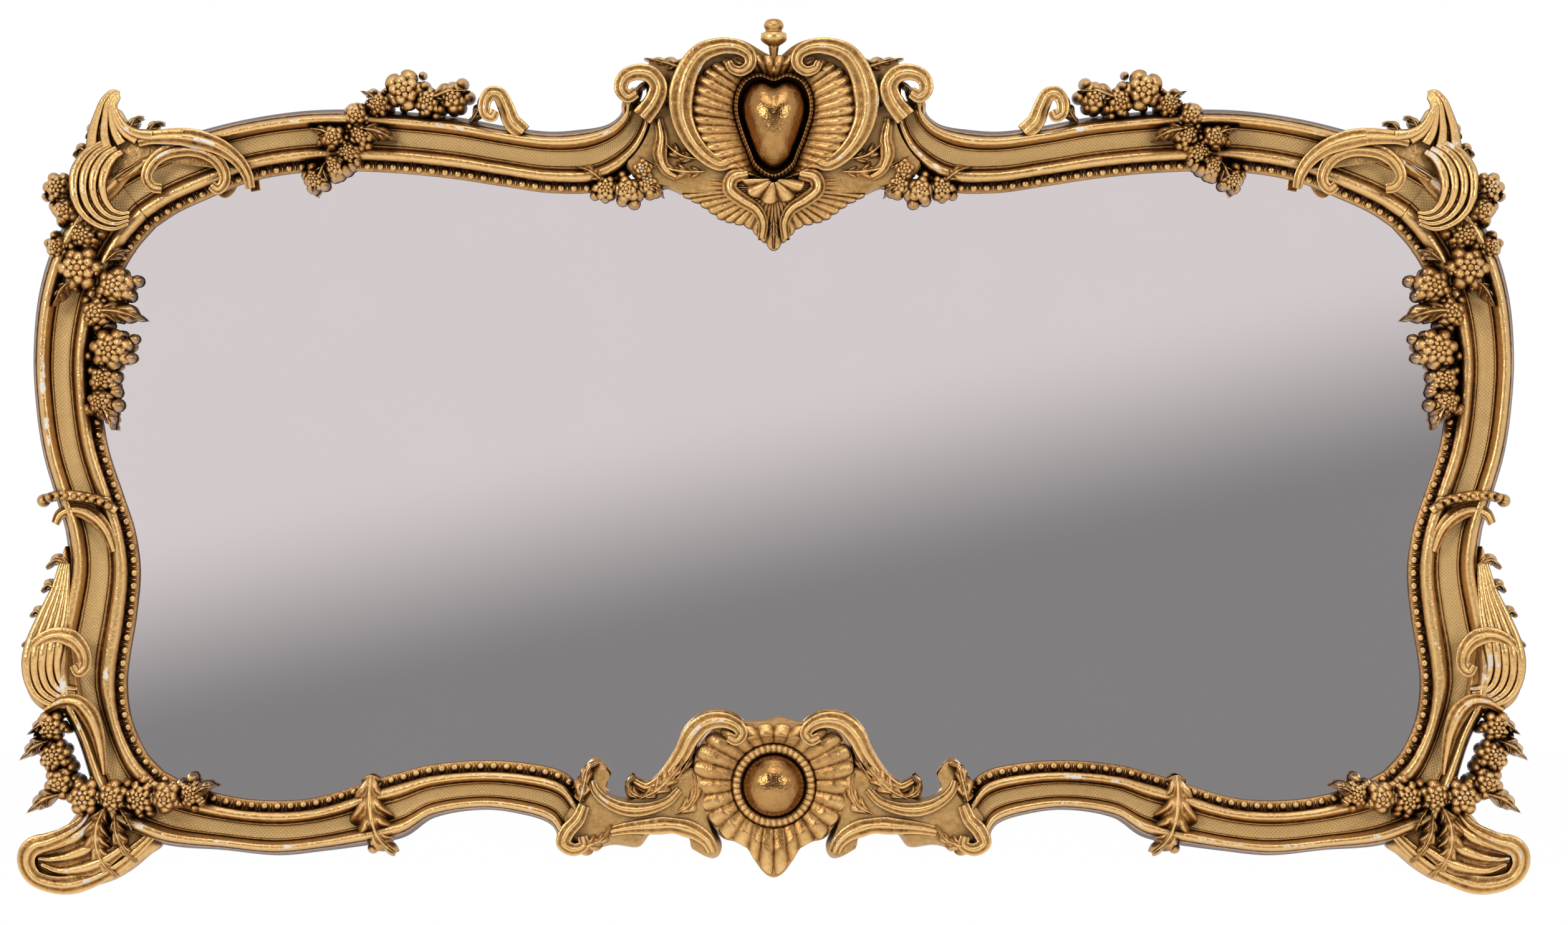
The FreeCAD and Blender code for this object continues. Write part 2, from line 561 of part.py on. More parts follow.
def apron_ring():
    """Turned ring round the ball of the cartouche."""
    middle = place(*APRON_BALL_SHARES, APRON_BOARD_DEPTH)
    bore = APRON_BALL_RADIUS + APRON_BALL_CLEARANCE
    inner = middle + ACROSS * bore
    outer = middle + ACROSS * APRON_RING_RADIUS
    crown = (inner + outer) / 2 + FORWARD * APRON_RING_RISE
    arc = Part.Arc(inner, crown, outer).toShape()
    face = Part.Face(Part.Wire([arc, Part.LineSegment(outer, inner).toShape()]))
    return face.revolve(middle, FORWARD)


def apron_ball():
    """Polished half ball of the cartouche."""
    middle = place(*APRON_BALL_SHARES, APRON_BOARD_DEPTH)
    return Part.makeSphere(APRON_BALL_RADIUS, middle, FORWARD, 0, 90)


def corner_leaf():
    """Acanthus leaf of the corner with its C-scroll and its loop."""
    leaf = relief(CORNER_LEAF_SHARES, CARVING_SEAT, CORNER_LEAF_DEPTH, LEAF_RELIEF_SHARES)
    depth = LEDGE_DEPTH + OUTER_RIDGE_RISE
    big = scroll(CORNER_SCROLL_SHARES, depth, CORNER_SCROLL_RADIUS)
    loop = scroll(CORNER_LOOP_SHARES, depth, CORNER_SCROLL_RADIUS)
    return leaf.multiFuse([big, loop])


def carvings():
    """Applied carvings of the left half in the order in which they are seated."""
    def leaf(shares, front):
        return relief(shares, CARVING_SEAT, front, LEAF_RELIEF_SHARES)

    return {
        "shoulder_scroll": leaf(SHOULDER_SCROLL_SHARES, SHOULDER_SCROLL_DEPTH),
        "rail_curl": leaf(RAIL_CURL_SHARES, RAIL_CURL_DEPTH),
        "top_spray": spray(TOP_SPRAY_SHARES, TOP_SPRAY_LEAF_SHARES, SPRAY_DEPTH),
        "corner_leaf": corner_leaf(),
        "stile_spray": spray(STILE_SPRAY_SHARES, STILE_SPRAY_LEAF_SHARES, SPRAY_DEPTH),
        "stile_collar": leaf(COLLAR_OUTLINE_SHARES, COLLAR_DEPTH),
        "stile_leaf": leaf(STILE_LEAF_SHARES, STILE_LEAF_DEPTH),
        "foot_scroll": relief(FOOT_SHARES, 0, FOOT_DEPTH, LEAF_RELIEF_SHARES),
        "foot_spray": spray(FOOT_SPRAY_SHARES, FOOT_SPRAY_LEAF_SHARES, SPRAY_DEPTH),
        "rail_clasp": leaf(CLASP_OUTLINE_SHARES, CLASP_DEPTH),
        "crest_spray": spray(CREST_SPRAY_SHARES, CREST_SPRAY_LEAF_SHARES, CREST_SPRAY_DEPTH)}


def bead_string(carved):
    """Half-round beads on the ledge of the left half, left out where a carving covers it."""
    stations = TOP_RAIL_SHARES[2:] + UPPER_STILE_SHARES[1:] + LOWER_STILE_SHARES[1:]
    stations += BOTTOM_RAIL_SHARES[1:] + ARCH_SHARES[1:]
    points = []
    for station in stations:
        inner, _, across = station_ends(station)
        points.append(inner + across * (LEDGE_WIDTH / 2) + FORWARD * LEDGE_DEPTH)
    line = smooth_wire(points, False)
    count = int(line.Length / BEAD_PITCH)
    loops = [loop for shape in carved for loop in footprints(shape)]
    bare = [point for point in line.discretize(Number=count)
            if not any(covers(loop, point) for loop in loops)]
    return [Part.makeSphere(BEAD_RADIUS, point, FORWARD, 0, 90) for point in bare]


def screw(head, inward, head_radius, radius, length, clearance=0.0):
    """Countersunk screw with its head flush at a point, going inward."""
    cone = head_radius - radius
    top = Part.makeCone(head_radius + clearance, radius + clearance, cone, head, inward)
    shank = Part.makeCylinder(radius + clearance, length - cone + clearance, head + inward * cone, inward)
    return top.fuse(shank).removeSplitter()


def both_sides(points):
    """Points of the left half and their mirror images."""
    return points + [Vector(-point.x, point.y, point.z) for point in points]


def board_screw_heads():
    """Places of the backboard screws, on the shoulder of the rebate."""
    stations = TOP_RAIL_SHARES[6:11:2] + UPPER_STILE_SHARES[2:7:2] + LOWER_STILE_SHARES[1:8:2]
    stations += BOTTOM_RAIL_SHARES[2:5:2] + ARCH_SHARES[2:5:2]
    heads = []
    for station in stations:
        inner, _, across = station_ends(station)
        heads.append(inner + across * (PLATE_LIP + BOARD_LIP / 2) + FORWARD * BOARD_SETBACK)
    return both_sides(heads)


def board_screw(head, clearance=0.0):
    """One backboard screw, or the hole for it."""
    return screw(
        head, FORWARD, BOARD_SCREW_HEAD_RADIUS, BOARD_SCREW_RADIUS, BOARD_SCREW_LENGTH, clearance)


def backboards(holes):
    """Pine planks that close the back, cut to the line of the rebate."""
    whole = slab(sight_ring(BOARD_REACH - PLATE_CLEARANCE, BOARD_DEPTH), BOARD_THICKNESS)
    box = whole.BoundBox
    pitch = box.ZLength / BOARD_COUNT
    planks = []
    for index in range(BOARD_COUNT):
        corner = Vector(box.XMin - OVERRUN, box.YMin, box.ZMin + index * pitch + BOARD_GAP / 2)
        size = (box.XLength + 2 * OVERRUN, box.YLength, pitch - BOARD_GAP)
        plank = whole.common(Part.makeBox(*size, corner))
        planks.append(seated(plank, holes))
    return planks


def plate_blocks():
    """Softwood blocks between the plate and the boards, round its edge."""
    reach = PLATE_LIP - 3 * PLATE_CLEARANCE - BLOCK_WIDTH
    blocks = []
    stations = TOP_RAIL_SHARES[6:11:2] + UPPER_STILE_SHARES[3:7:2] + LOWER_STILE_SHARES[2:6:2]
    stations += BOTTOM_RAIL_SHARES[2:4] + ARCH_SHARES[2:5:2]
    for station in stations:
        inner, _, across = station_ends(station)
        along = across.cross(FORWARD)
        block = Part.makeBox(BLOCK_WIDTH, BLOCK_LENGTH, BLOCK_THICKNESS)
        turn = FreeCAD.Rotation(across, along, FORWARD, "ZXY")
        corner = inner + across * reach - along * (BLOCK_LENGTH / 2) + FORWARD * BOARD_DEPTH
        block.Placement = FreeCAD.Placement(corner, turn)
        blocks.append(block)
    return blocks + [mirrored(block) for block in blocks]


def dowel_lines():
    """Middle and direction of each dowel of the left half."""
    lines = []
    for station in (CORNER_TOP_SHARES, COLLAR_SHARES, CORNER_BOTTOM_SHARES, CLASP_SHARES, ARCH_SHARES[-1]):
        inner, outer, across = station_ends(station)
        middle = inner + (outer - inner) * DOWEL_PLACE_SHARE + FORWARD * DOWEL_DEPTH
        lines.append((middle, across.cross(FORWARD)))
    lines.append((place(*CREST_DOWEL_SHARES, DOWEL_DEPTH), ACROSS))
    return lines


def dowel(middle, along, clearance=0.0):
    """One dowel, or the hole for it."""
    length = DOWEL_LENGTH + 2 * clearance
    return Part.makeCylinder(DOWEL_RADIUS + clearance, length, middle - along * (length / 2), along)


def hanger_eye():
    """Middle of the eye that carries the left ring, behind the stile."""
    eye_radius = RING_WIRE_RADIUS + RING_CLEARANCE + STRAP_THICKNESS
    return place(*HANGER_SHARES) + BACKWARD * eye_radius


def hanger_screw_heads():
    """Heads of the two screws of the left hanger, flush with its strap."""
    eye = hanger_eye()
    base = Vector(eye.x, STRAP_THICKNESS, eye.z)
    return [base + Vector(0, 0, -share * STRAP_LENGTH) for share in HANGER_SCREW_SHARES]


def hanger_screw(head, clearance=0.0):
    """One hanger screw, or the hole for it."""
    return screw(
        head, FORWARD, HANGER_SCREW_HEAD_RADIUS, HANGER_SCREW_RADIUS, HANGER_SCREW_LENGTH, clearance)


def hanger_strap():
    """Steel strap of the left hanger, rolled round the ring at its top."""
    eye = hanger_eye()
    bore = RING_WIRE_RADIUS + RING_CLEARANCE
    start = eye - ACROSS * (STRAP_WIDTH / 2)
    roll = Part.makeCylinder(bore + STRAP_THICKNESS, STRAP_WIDTH, start, ACROSS)
    corner = Vector(start.x, 0, eye.z - STRAP_LENGTH)
    strap = Part.makeBox(STRAP_WIDTH, STRAP_THICKNESS, STRAP_LENGTH, corner)
    run = STRAP_WIDTH + 2 * OVERRUN
    hole = Part.makeCylinder(bore, run, start - ACROSS * OVERRUN, ACROSS)
    holes = [hanger_screw(head, SCREW_CLEARANCE) for head in hanger_screw_heads()]
    return roll.fuse(strap).cut([hole] + holes).removeSplitter()


def hanger_ring():
    """D-shaped wire ring of the left hanger, hanging down."""
    eye = hanger_eye()
    half = RING_WIDTH / 2
    bend = RING_CORNER_RADIUS
    slant = bend * math.sqrt(0.5)
    side = half - bend

    def point(x, drop):
        return eye + Vector(x, 0, -drop)

    def corner(sign):
        return [point(sign * side, 0), point(sign * (side + slant), bend - slant), point(sign * half, bend)]

    low = RING_REACH - half
    path = [
        Part.LineSegment(point(-side, 0), point(side, 0)), Part.Arc(*corner(RIGHT)),
        Part.LineSegment(point(half, bend), point(half, low)),
        Part.Arc(point(half, low), point(0, RING_REACH), point(-half, low)),
        Part.LineSegment(point(-half, low), point(-half, bend)), Part.Arc(*reversed(corner(LEFT)))]
    line = Part.Wire([curve.toShape() for curve in path])
    start = point(-side, 0)
    section = Part.Wire([Part.makeCircle(RING_WIRE_RADIUS, start, ACROSS)])
    return line.makePipeShell([section], True, False)


def export(name, shape):
    """Write one node; a list becomes a group of separate solids."""
    if isinstance(shape, list):
        shape = Part.Compound(shape)
    shape.exportStep("parts/" + name + ".step")


def export_pair(name, shape):
    """Write the left piece and its mirror image."""
    export(name + "_left", shape)
    if isinstance(shape, list):
        export(name + "_right", [mirrored(piece) for piece in shape])
    else:
        export(name + "_right", mirrored(shape))


def main():
    """Build every piece, seat the carvings and write the nodes."""
    os.makedirs("parts", exist_ok=True)
    left_rails = rails()
    frame = list(left_rails.values())
    frame += [mirrored(rail) for rail in frame]
    board = crest_board(frame)
    apron = relief(APRON_BOARD_SHARES, 0, APRON_BOARD_DEPTH, BOARD_RELIEF_SHARES, True, GROUND_SPAN)
    apron = seated(apron, frame + rebate_pocket())
    neck = relief(NECK_SHARES, 0, NECK_DEPTH, LEAF_RELIEF_SHARES, False, GROUND_SPAN)
    neck = seated(neck, frame + rebate_pocket() + [apron])
    ground = frame + [board, apron, neck]
    carved = {}
    for name, piece in carvings().items():
        carved[name] = seated(piece, ground + list(carved.values()))
    lambrequin = crest_lambrequin()
    crest_scroll = seated(
        scroll(CREST_SCROLL_SHARES, CREST_BOARD_DEPTH, CREST_SCROLL_RADIUS),
        [board])
    apron_scroll = seated(
        scroll(APRON_SCROLL_SHARES, APRON_BOARD_DEPTH, APRON_SCROLL_RADIUS),
        [apron, mirrored(apron), neck])
    boss = crest_boss()
    ribs = [seated(rib, [board, crest_scroll]) for rib in crest_shell()]
    beads = bead_string(list(carved.values()) + [board, neck])
    heads = board_screw_heads()
    screw_holes = [board_screw(head, SCREW_CLEARANCE) for head in heads]
    dowel_holes = [dowel(middle, along, DOWEL_CLEARANCE) for middle, along in dowel_lines()]
    hanger_holes = [hanger_screw(head, SCREW_CLEARANCE) for head in hanger_screw_heads()]
    mirror_holes = [mirrored(hole) for hole in dowel_holes]
    board = seated(board, dowel_holes + mirror_holes)
    neck = seated(neck, dowel_holes)
    for name, rail in left_rails.items():
        export_pair(name, seated(rail, dowel_holes + screw_holes + hanger_holes))
    for name, piece in carved.items():
        export_pair(name, piece)
    export_pair("crest_scroll", crest_scroll)
    export_pair("apron_neck", neck)
    export_pair("apron_scroll", apron_scroll)
    export_pair("bead_string", beads)
    export("crest_board", board)
    export("crest_boss", boss)
    export("crest_finial", crest_finial())
    export("crest_shell", ribs + [mirrored(rib) for rib in ribs])
    export("crest_lambrequin", lambrequin)
    export("apron_board", apron)
    export("apron_ring", apron_ring())
    export("apron_ball", apron_ball())
    export("mirror_plate", slab(sight_ring(PLATE_LIP - PLATE_CLEARANCE, PLATE_DEPTH), PLATE_THICKNESS))
    export("plate_blocks", plate_blocks())
    for index, plank in enumerate(backboards(screw_holes)):
        export("backboard_%d" % (index + 1), plank)
    export("backboard_screws", [board_screw(head) for head in heads])
    dowels = [dowel(middle, along) for middle, along in dowel_lines()]
    export("frame_dowels", dowels + [mirrored(piece) for piece in dowels])
    export("hanger_straps", [hanger_strap(), mirrored(hanger_strap())])
    screws = [hanger_screw(head) for head in hanger_screw_heads()]
    export("hanger_screws", screws + [mirrored(piece) for piece in screws])
    export_pair("hanger_ring", hanger_ring())


main()
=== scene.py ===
import logging
import math
from dataclasses import dataclass
from enum import Enum
from typing import Dict, List, Sequence, Tuple

import bmesh
import bpy
import numpy as np
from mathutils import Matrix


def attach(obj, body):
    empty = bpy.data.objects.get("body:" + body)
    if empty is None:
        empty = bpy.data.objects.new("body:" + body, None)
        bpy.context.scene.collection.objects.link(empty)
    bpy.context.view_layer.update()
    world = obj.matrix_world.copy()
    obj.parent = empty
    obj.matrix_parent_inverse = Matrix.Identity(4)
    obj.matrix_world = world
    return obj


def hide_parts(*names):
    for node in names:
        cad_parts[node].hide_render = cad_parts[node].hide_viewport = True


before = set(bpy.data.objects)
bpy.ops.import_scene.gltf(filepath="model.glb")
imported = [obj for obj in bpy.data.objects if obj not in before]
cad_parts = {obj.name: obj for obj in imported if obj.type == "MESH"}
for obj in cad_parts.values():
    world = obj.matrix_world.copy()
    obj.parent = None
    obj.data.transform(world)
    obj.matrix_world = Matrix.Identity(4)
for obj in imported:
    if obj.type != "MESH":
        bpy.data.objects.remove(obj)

LOG = logging.getLogger("mirror")
Shares = Sequence[Tuple[float, ...]]
Triple = Tuple[float, float, float]
Socket = bpy.types.NodeSocket
Pieces = Dict[str, bpy.types.Object]

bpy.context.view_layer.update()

# Sizes of the frame in metres; depths go forward from the back, towards -Y
HALF_WIDTH = 0.900
HEIGHT = 1.045
ORIGIN_SHARE = 0.87
PLATE_DEPTH = 0.024
BOARD_DEPTH = 0.012
LEDGE_DEPTH = 0.034
LEDGE_WIDTH = 0.012
PLATE_LIP = 0.012
BOARD_REACH = 0.025
CARVING_SEAT = 0.029
LEDGE_ROUND = 0.0015
MILLIMETRE = 0.001
PER_MILLE = 1000.0
WELD = 1e-6
COMB_WAVES = 1500.0
TURN_OVER = (-1.0, 1.0, 1.0)


class Side(Enum):
    """Half of the mirror that a piece belongs to; pieces are drawn on the left."""

    LEFT = 1.0
    RIGHT = -1.0
    MIDDLE = 0.0


def spots(shares: Shares) -> np.ndarray:
    """Points of the left half in the plane of the back.

    Args:
        shares: x and z in thousandths of the half width and of the height.

    Returns:
        Array of points, with y at zero.
    """
    table = np.asarray(shares, dtype=float) / PER_MILLE
    flat = np.zeros((len(table), 3))
    flat[:, 0] = -table[:, 0] * HALF_WIDTH
    flat[:, 2] = (table[:, 1] - ORIGIN_SHARE) * HEIGHT
    return flat


def smooth_path(points: np.ndarray, count: int, closed: bool = False) -> np.ndarray:
    """Smooth curve through points: cubic pieces whose slopes are the chords between neighbours.

    Args:
        points: Rows of coordinates of any dimension.
        count: Number of points wanted, evenly spread along the chords.
        closed: Whether the curve goes back to its first point.

    Returns:
        Array of points on the curve; a closed curve doesn't repeat its first point.
    """
    table = np.asarray(points, dtype=float)
    if closed:
        table = np.vstack([table[-2:], table, table[:3]])
    steps = np.linalg.norm(np.diff(table, axis=0), axis=1)
    marks = np.concatenate([[0.0], np.cumsum(np.maximum(steps, 1e-9))])
    slopes = np.empty_like(table)
    slopes[1:-1] = (table[2:] - table[:-2]) / (marks[2:] - marks[:-2])[:, None]
    slopes[0] = (table[1] - table[0]) / (marks[1] - marks[0])
    slopes[-1] = (table[-1] - table[-2]) / (marks[-1] - marks[-2])
    first, last = (marks[2], marks[-3]) if closed else (marks[0], marks[-1])
    where = np.linspace(first, last, count, endpoint=not closed)
    piece = np.clip(np.searchsorted(marks, where, side="right") - 1, 0, len(marks) - 2)
    run = (marks[piece + 1] - marks[piece])[:, None]
    way = ((where - marks[piece])[:, None]) / run
    square = way * way
    cube = square * way
    return ((2 * cube - 3 * square + 1) * table[piece] + (cube - 2 * square + way) * run * slopes[piece]
            + (3 * square - 2 * cube) * table[piece + 1] + (cube - square) * run * slopes[piece + 1])


def levels(values: Sequence[float], rows: int) -> np.ndarray:
    """Smooth column of values along a path.

    Args:
        values: A few values, evenly spread from its start to its end.
        rows: Number of values wanted.

    Returns:
        Column of values in the same unit.
    """
    return smooth_path(np.stack([np.linspace(0, 1, len(values)), values], 1), rows)[:, 1:]


def along_and_across(path: np.ndarray) -> Tuple[np.ndarray, np.ndarray]:
    """Unit vectors along a path in the plane of the frame, and square to it in that plane.

    Args:
        path: Rows of points.

    Returns:
        The two arrays of unit vectors.
    """
    along = np.gradient(path, axis=0)
    along[:, 1] = 0
    along /= np.maximum(np.linalg.norm(along, axis=1, keepdims=True), 1e-12)
    across = np.stack([along[:, 2], np.zeros(len(along)), -along[:, 0]], axis=1)
    return along, across


def forward(depth: np.ndarray) -> np.ndarray:
    """Vectors that go forward from the back by the given depths."""
    depth = np.asarray(depth, dtype=float)
    out = np.zeros(depth.shape + (3,))
    out[..., 1] = -depth
    return out


class Carving:
    """Mesh of one piece, gathered from surfaces of two parameters."""

    def __init__(self) -> None:
        """Start with no surface."""
        self.points: List[np.ndarray] = []
        self.faces: List[np.ndarray] = []
        self.caps: List[List[int]] = []
        self.relief: List[np.ndarray] = []
        self.hatch: List[np.ndarray] = []
        self.maps: List[np.ndarray] = []
        self.total = 0

    def add_grid(self, grid: np.ndarray, relief: np.ndarray, hatch: np.ndarray | float = 0.0,
                 wrap: Tuple[bool, bool] = (False, False), caps: bool = False,
                 flat_map: np.ndarray | None = None) -> None:
        """Add a surface given as a grid of points.

        Args:
            grid: Points by the two parameters.
            relief: How proud each point stands, from 0 in a hollow to 1 on a ridge; the gilding paints shade
                where it is low and highlight where it is high.
            hatch: How far the ground is combed at each point.
            wrap: Whether each parameter goes round and closes.
            caps: Whether the first and last rows are closed with a face.
            flat_map: Flat coordinates of the points in metres, or None.
        """
        rows, columns = grid.shape[:2]
        index = np.arange(rows * columns).reshape(rows, columns) + self.total
        near = np.roll(index, -1, axis=0) if wrap[0] else index[1:]
        first = index if wrap[0] else index[:-1]
        if wrap[1]:
            quads = np.stack([first, near, np.roll(near, -1, axis=1), np.roll(first, -1, axis=1)], axis=-1)
        else:
            quads = np.stack([first[:, :-1], near[:, :-1], near[:, 1:], first[:, 1:]], axis=-1)
        self.points.append(grid.reshape(-1, 3))
        self.faces.append(quads.reshape(-1, 4))
        self.relief.append(np.broadcast_to(relief, (rows, columns)).reshape(-1))
        self.hatch.append(np.broadcast_to(hatch, (rows, columns)).reshape(-1))
        if flat_map is None:
            flat_map = grid[..., (0, 2)]
        self.maps.append(np.broadcast_to(flat_map, (rows, columns, 2)).reshape(-1, 2))
        if caps:
            self.caps.append(index[0].tolist())
            self.caps.append(index[-1].tolist())
        self.total += rows * columns

    def piece(self, name: str, side: Side = Side.LEFT) -> bpy.types.Object:
        """Make the object; the right-hand piece is the left one turned over.

        Args:
            name: Name of the piece.
            side: Half of the mirror.

        Returns:
            The mesh object, smooth, with its faces outwards.
        """
        points = np.concatenate(self.points)
        if side is Side.RIGHT:
            points = points * np.array(TURN_OVER)
        quads = np.concatenate(self.faces).tolist()
        mesh = bpy.data.meshes.new(name)
        mesh.from_pydata(points.tolist(), [], quads + self.caps)
        for label, values in (("relief", self.relief), ("hatch", self.hatch)):
            layer = mesh.attributes.new(label, "FLOAT", "POINT")
            layer.data.foreach_set("value", np.concatenate(values).astype(np.float32))
        flat = mesh.attributes.new("flat", "FLOAT2", "POINT")
        flat.data.foreach_set("vector", np.concatenate(self.maps).astype(np.float32).reshape(-1))
        shell = bmesh.new()
        shell.from_mesh(mesh)
        bmesh.ops.remove_doubles(shell, verts=shell.verts, dist=WELD)
        bmesh.ops.recalc_face_normals(shell, faces=shell.faces)
        shell.to_mesh(mesh)
        shell.free()
        mesh.polygons.foreach_set("use_smooth", np.ones(len(mesh.polygons), dtype=bool))
        made = bpy.data.objects.new(name, mesh)
        bpy.context.scene.collection.objects.link(made)
        return made

    def pair(self, node: str, label: str = "") -> Pieces:
        """Make the left-hand piece and the right-hand one.

        Args:
            node: Name of the node without its side.
            label: Name of the pieces, where it isn't the node's.

        Returns:
            The two pieces by node name.
        """
        made = {}
        for side in (Side.LEFT, Side.RIGHT):
            end = side.name.lower()
            made["%s_%s" % (node, end)] = self.piece("carved_%s_%s" % (label or node, end), side)
        return made


def add_blade(carving: Carving, spine: Shares, widths: Sequence[float], crown: Sequence[float],
              lobes: float, base: float = CARVING_SEAT, notch: float = 0.35, sweep: float = 0.5) -> None:
    """Acanthus leaf: its edge is cut into lobes that lean forward, each with a fluted face.

    Half width = width along the spine x (1 - notch x a cusp at each lobe); depth = a rounded
    section that falls from the midrib to the edge, plus a wave across each lobe; the back is flat.

    Args:
        carving: Mesh that gets the leaf.
        spine: Places from root to tip, as shares.
        widths: Half widths along the spine in millimetres.
        crown: Depths of the midrib along the spine in millimetres.
        lobes: Number of lobes along each edge.
        base: Depth of the flat back.
        notch: How deep the cuts between lobes go, as a share of the width.
        sweep: How far the lobes lean to the tip, as a share of the width.
    """
    rows, half = 84, 11
    path = smooth_path(spots(spine), rows)
    along, across = along_and_across(path)
    way = np.linspace(0.0, 1.0, rows)[:, None]
    side = np.linspace(-1.0, 1.0, 2 * half + 1)[None, :]
    reach = np.abs(side)
    width = levels(widths, rows) * MILLIMETRE
    width = np.maximum(width, 0.0)
    top = levels(crown, rows) * MILLIMETRE
    phase = lobes * (way - 0.30 * reach / max(lobes, 1.0))
    cusp = np.abs(np.sin(math.pi * phase)) ** 0.55
    span = side * width * (1 - notch * (1 - cusp) * reach)
    lean = sweep * width * reach ** 1.5
    rib = np.exp(-(side / 0.13) ** 2)
    wave = 0.5 - 0.5 * np.cos(2 * math.pi * phase)
    section = 0.42 + 0.46 * (1 - reach ** 2.0) + 0.12 * rib - 0.10 * np.exp(-((reach - 0.22) / 0.09) ** 2)
    section = section + 0.26 * (wave - 0.5) * np.minimum(reach * 2.2, 1.0)
    depth = base + (top - base) * np.clip(section, 0.02, 1.2)
    front = path[:, None, :] + across[:, None, :] * span[..., None] + along[:, None, :] * lean[..., None]
    relief = np.clip(0.15 + 0.75 * section + 0.15 * rib - 0.30 * (1 - cusp) * reach, 0, 1)
    face = front + forward(depth)
    back = (front + forward(np.full_like(depth, base)))[:, ::-1]
    grid = np.concatenate([face, back], axis=1)
    carving.add_grid(grid, np.concatenate([relief, np.full_like(relief, 0.2)], axis=1), wrap=(False, True),
                     caps=True)


def add_scroll(carving: Carving, shares: Shares, radii: Sequence[float], depth: Sequence[float],
               reeds: int = 3) -> None:
    """Reeded scroll: a round section of changing radius along a path, with shallow grooves.

    Args:
        carving: Mesh that gets the scroll.
        shares: Places along the middle of the scroll.
        radii: Radii along it in millimetres.
        depth: Depths of its middle along it in millimetres.
        reeds: Number of grooves round the front.
    """
    rows, round_count = 96, 40
    path = smooth_path(spots(shares), rows)
    _, across = along_and_across(path)
    radius = levels(radii, rows) * MILLIMETRE
    middle = levels(depth, rows) * MILLIMETRE
    turn = np.linspace(0, 2 * math.pi, round_count, endpoint=False)[None, :]
    groove = 0.14 * np.cos(2 * reeds * (turn - math.pi / 2)) * np.clip(3 * np.sin(turn) + 0.6, 0, 1)
    size = radius * (1 + groove)
    grid = (path[:, None, :] + across[:, None, :] * (1.15 * np.cos(turn) * size)[..., None]
            + forward(middle + 0.85 * np.sin(turn) * size))
    relief = np.clip(0.50 + 0.25 * np.sin(turn) + 3.0 * groove, 0, 1) * np.ones((rows, 1))
    carving.add_grid(grid, relief, wrap=(False, True), caps=True)


def add_reeds(carving: Carving, outer: Shares, inner: Shares, count: int, radii: Sequence[float],
              depth: Sequence[float]) -> None:
    """Fluted leaf: reeds side by side, drawn evenly between two edge paths.

    Args:
        carving: Mesh that gets the reeds.
        outer: Places along one edge.
        inner: Places along the other edge, as many.
        count: Number of reeds.
        radii: Radii along each reed in millimetres.
        depth: Depths of its middle along it in millimetres.
    """
    first, last = np.asarray(outer), np.asarray(inner)
    for share in np.linspace(0, 1, count):
        add_scroll(carving, first + (last - first) * share, radii, depth, reeds=1)


def add_tip(carving: Carving, root: Tuple[float, float], tip: Tuple[float, float], crown: float) -> None:
    """Small curled lobe at the edge of a leaf.

    Args:
        carving: Mesh that gets the lobe.
        root: Place where it leaves the leaf.
        tip: Place of its end.
        crown: Depth of its midrib in millimetres.
    """
    middle = ((root[0] + tip[0]) / 2, (root[1] + tip[1]) / 2 + 6)
    add_blade(carving, (root, middle, tip), (7, 8, 2), (crown - 2, crown, crown - 8), lobes=2)


def add_blossom(carving: Carving, place: Triple, front: float, petals: int = 5,
                layers: int = 3, turn: float = 0.0, radius: float = 0.022,
                base: float = CARVING_SEAT) -> None:
    """Flower of cupped whorls: radius waves with the petals, depth rises to a lip and folds back.

    Args:
        carving: Mesh that gets the flower.
        place: x and z in thousandths, and size as a share of the radius.
        front: Depth of its front in metres.
        petals: Petals in a whorl.
        layers: Number of whorls, each smaller and further forward.
        turn: Turn of the flower in radians.
        radius: Radius of a flower of size 1.
        base: Depth where its back sits.
    """
    middle = spots([place[:2]])[0]
    full = radius * place[2]
    spread = np.linspace(0.0, 1.0, 9)[:, None]
    angle = np.linspace(0, 2 * math.pi, 10 * petals, endpoint=False)[None, :]
    for layer in range(layers):
        size = full * (1.0, 0.70, 0.42)[layer]
        low = base + (front - base) * (0.30, 0.58, 0.74)[layer]
        high = base + (front - base) * (0.72, 0.90, 1.0)[layer]
        phase = petals * (angle + turn + layer * math.pi / petals) / 2
        petal = np.abs(np.cos(phase)) ** 0.45
        reach = size * spread * (0.70 + 0.30 * petal)
        lift = np.sin(np.clip(spread, 0, 1) ** 0.9 * math.pi * 0.80) ** 0.8
        crease = (1 - petal) * spread ** 1.2
        depth = low + (high - low) * (lift - 0.55 * crease)
        depth[0] = low + 0.15 * (high - low)
        skirt = np.full((2, angle.shape[1]), base)
        outer = np.concatenate([reach, reach[-1:] * 0.92, reach[-1:] * 0], axis=0)
        height = np.concatenate([depth, skirt], axis=0)
        grid = np.empty(outer.shape + (3,))
        grid[..., 0] = middle[0] + outer * np.cos(angle)
        grid[..., 1] = -height
        grid[..., 2] = middle[2] + outer * np.sin(angle)
        relief = np.clip(0.10 + 0.80 * lift - 0.75 * crease + 0.08 * layer, 0, 1)
        relief = np.concatenate([relief, np.full((2, angle.shape[1]), 0.1)], axis=0)
        carving.add_grid(grid, relief, wrap=(False, True))
    add_dome(carving, round_outline(middle, 0.17 * full), front - 0.10 * full, front + 0.08 * full)


def round_outline(middle: np.ndarray, radius: float, count: int = 20) -> np.ndarray:
    """Circle in the plane of the back.

    Args:
        middle: Its centre.
        radius: Its radius.
        count: Number of points.

    Returns:
        Points round the circle.
    """
    turn = np.linspace(0, 2 * math.pi, count, endpoint=False)
    return middle + radius * np.stack([np.cos(turn), np.zeros(count), np.sin(turn)], axis=1)


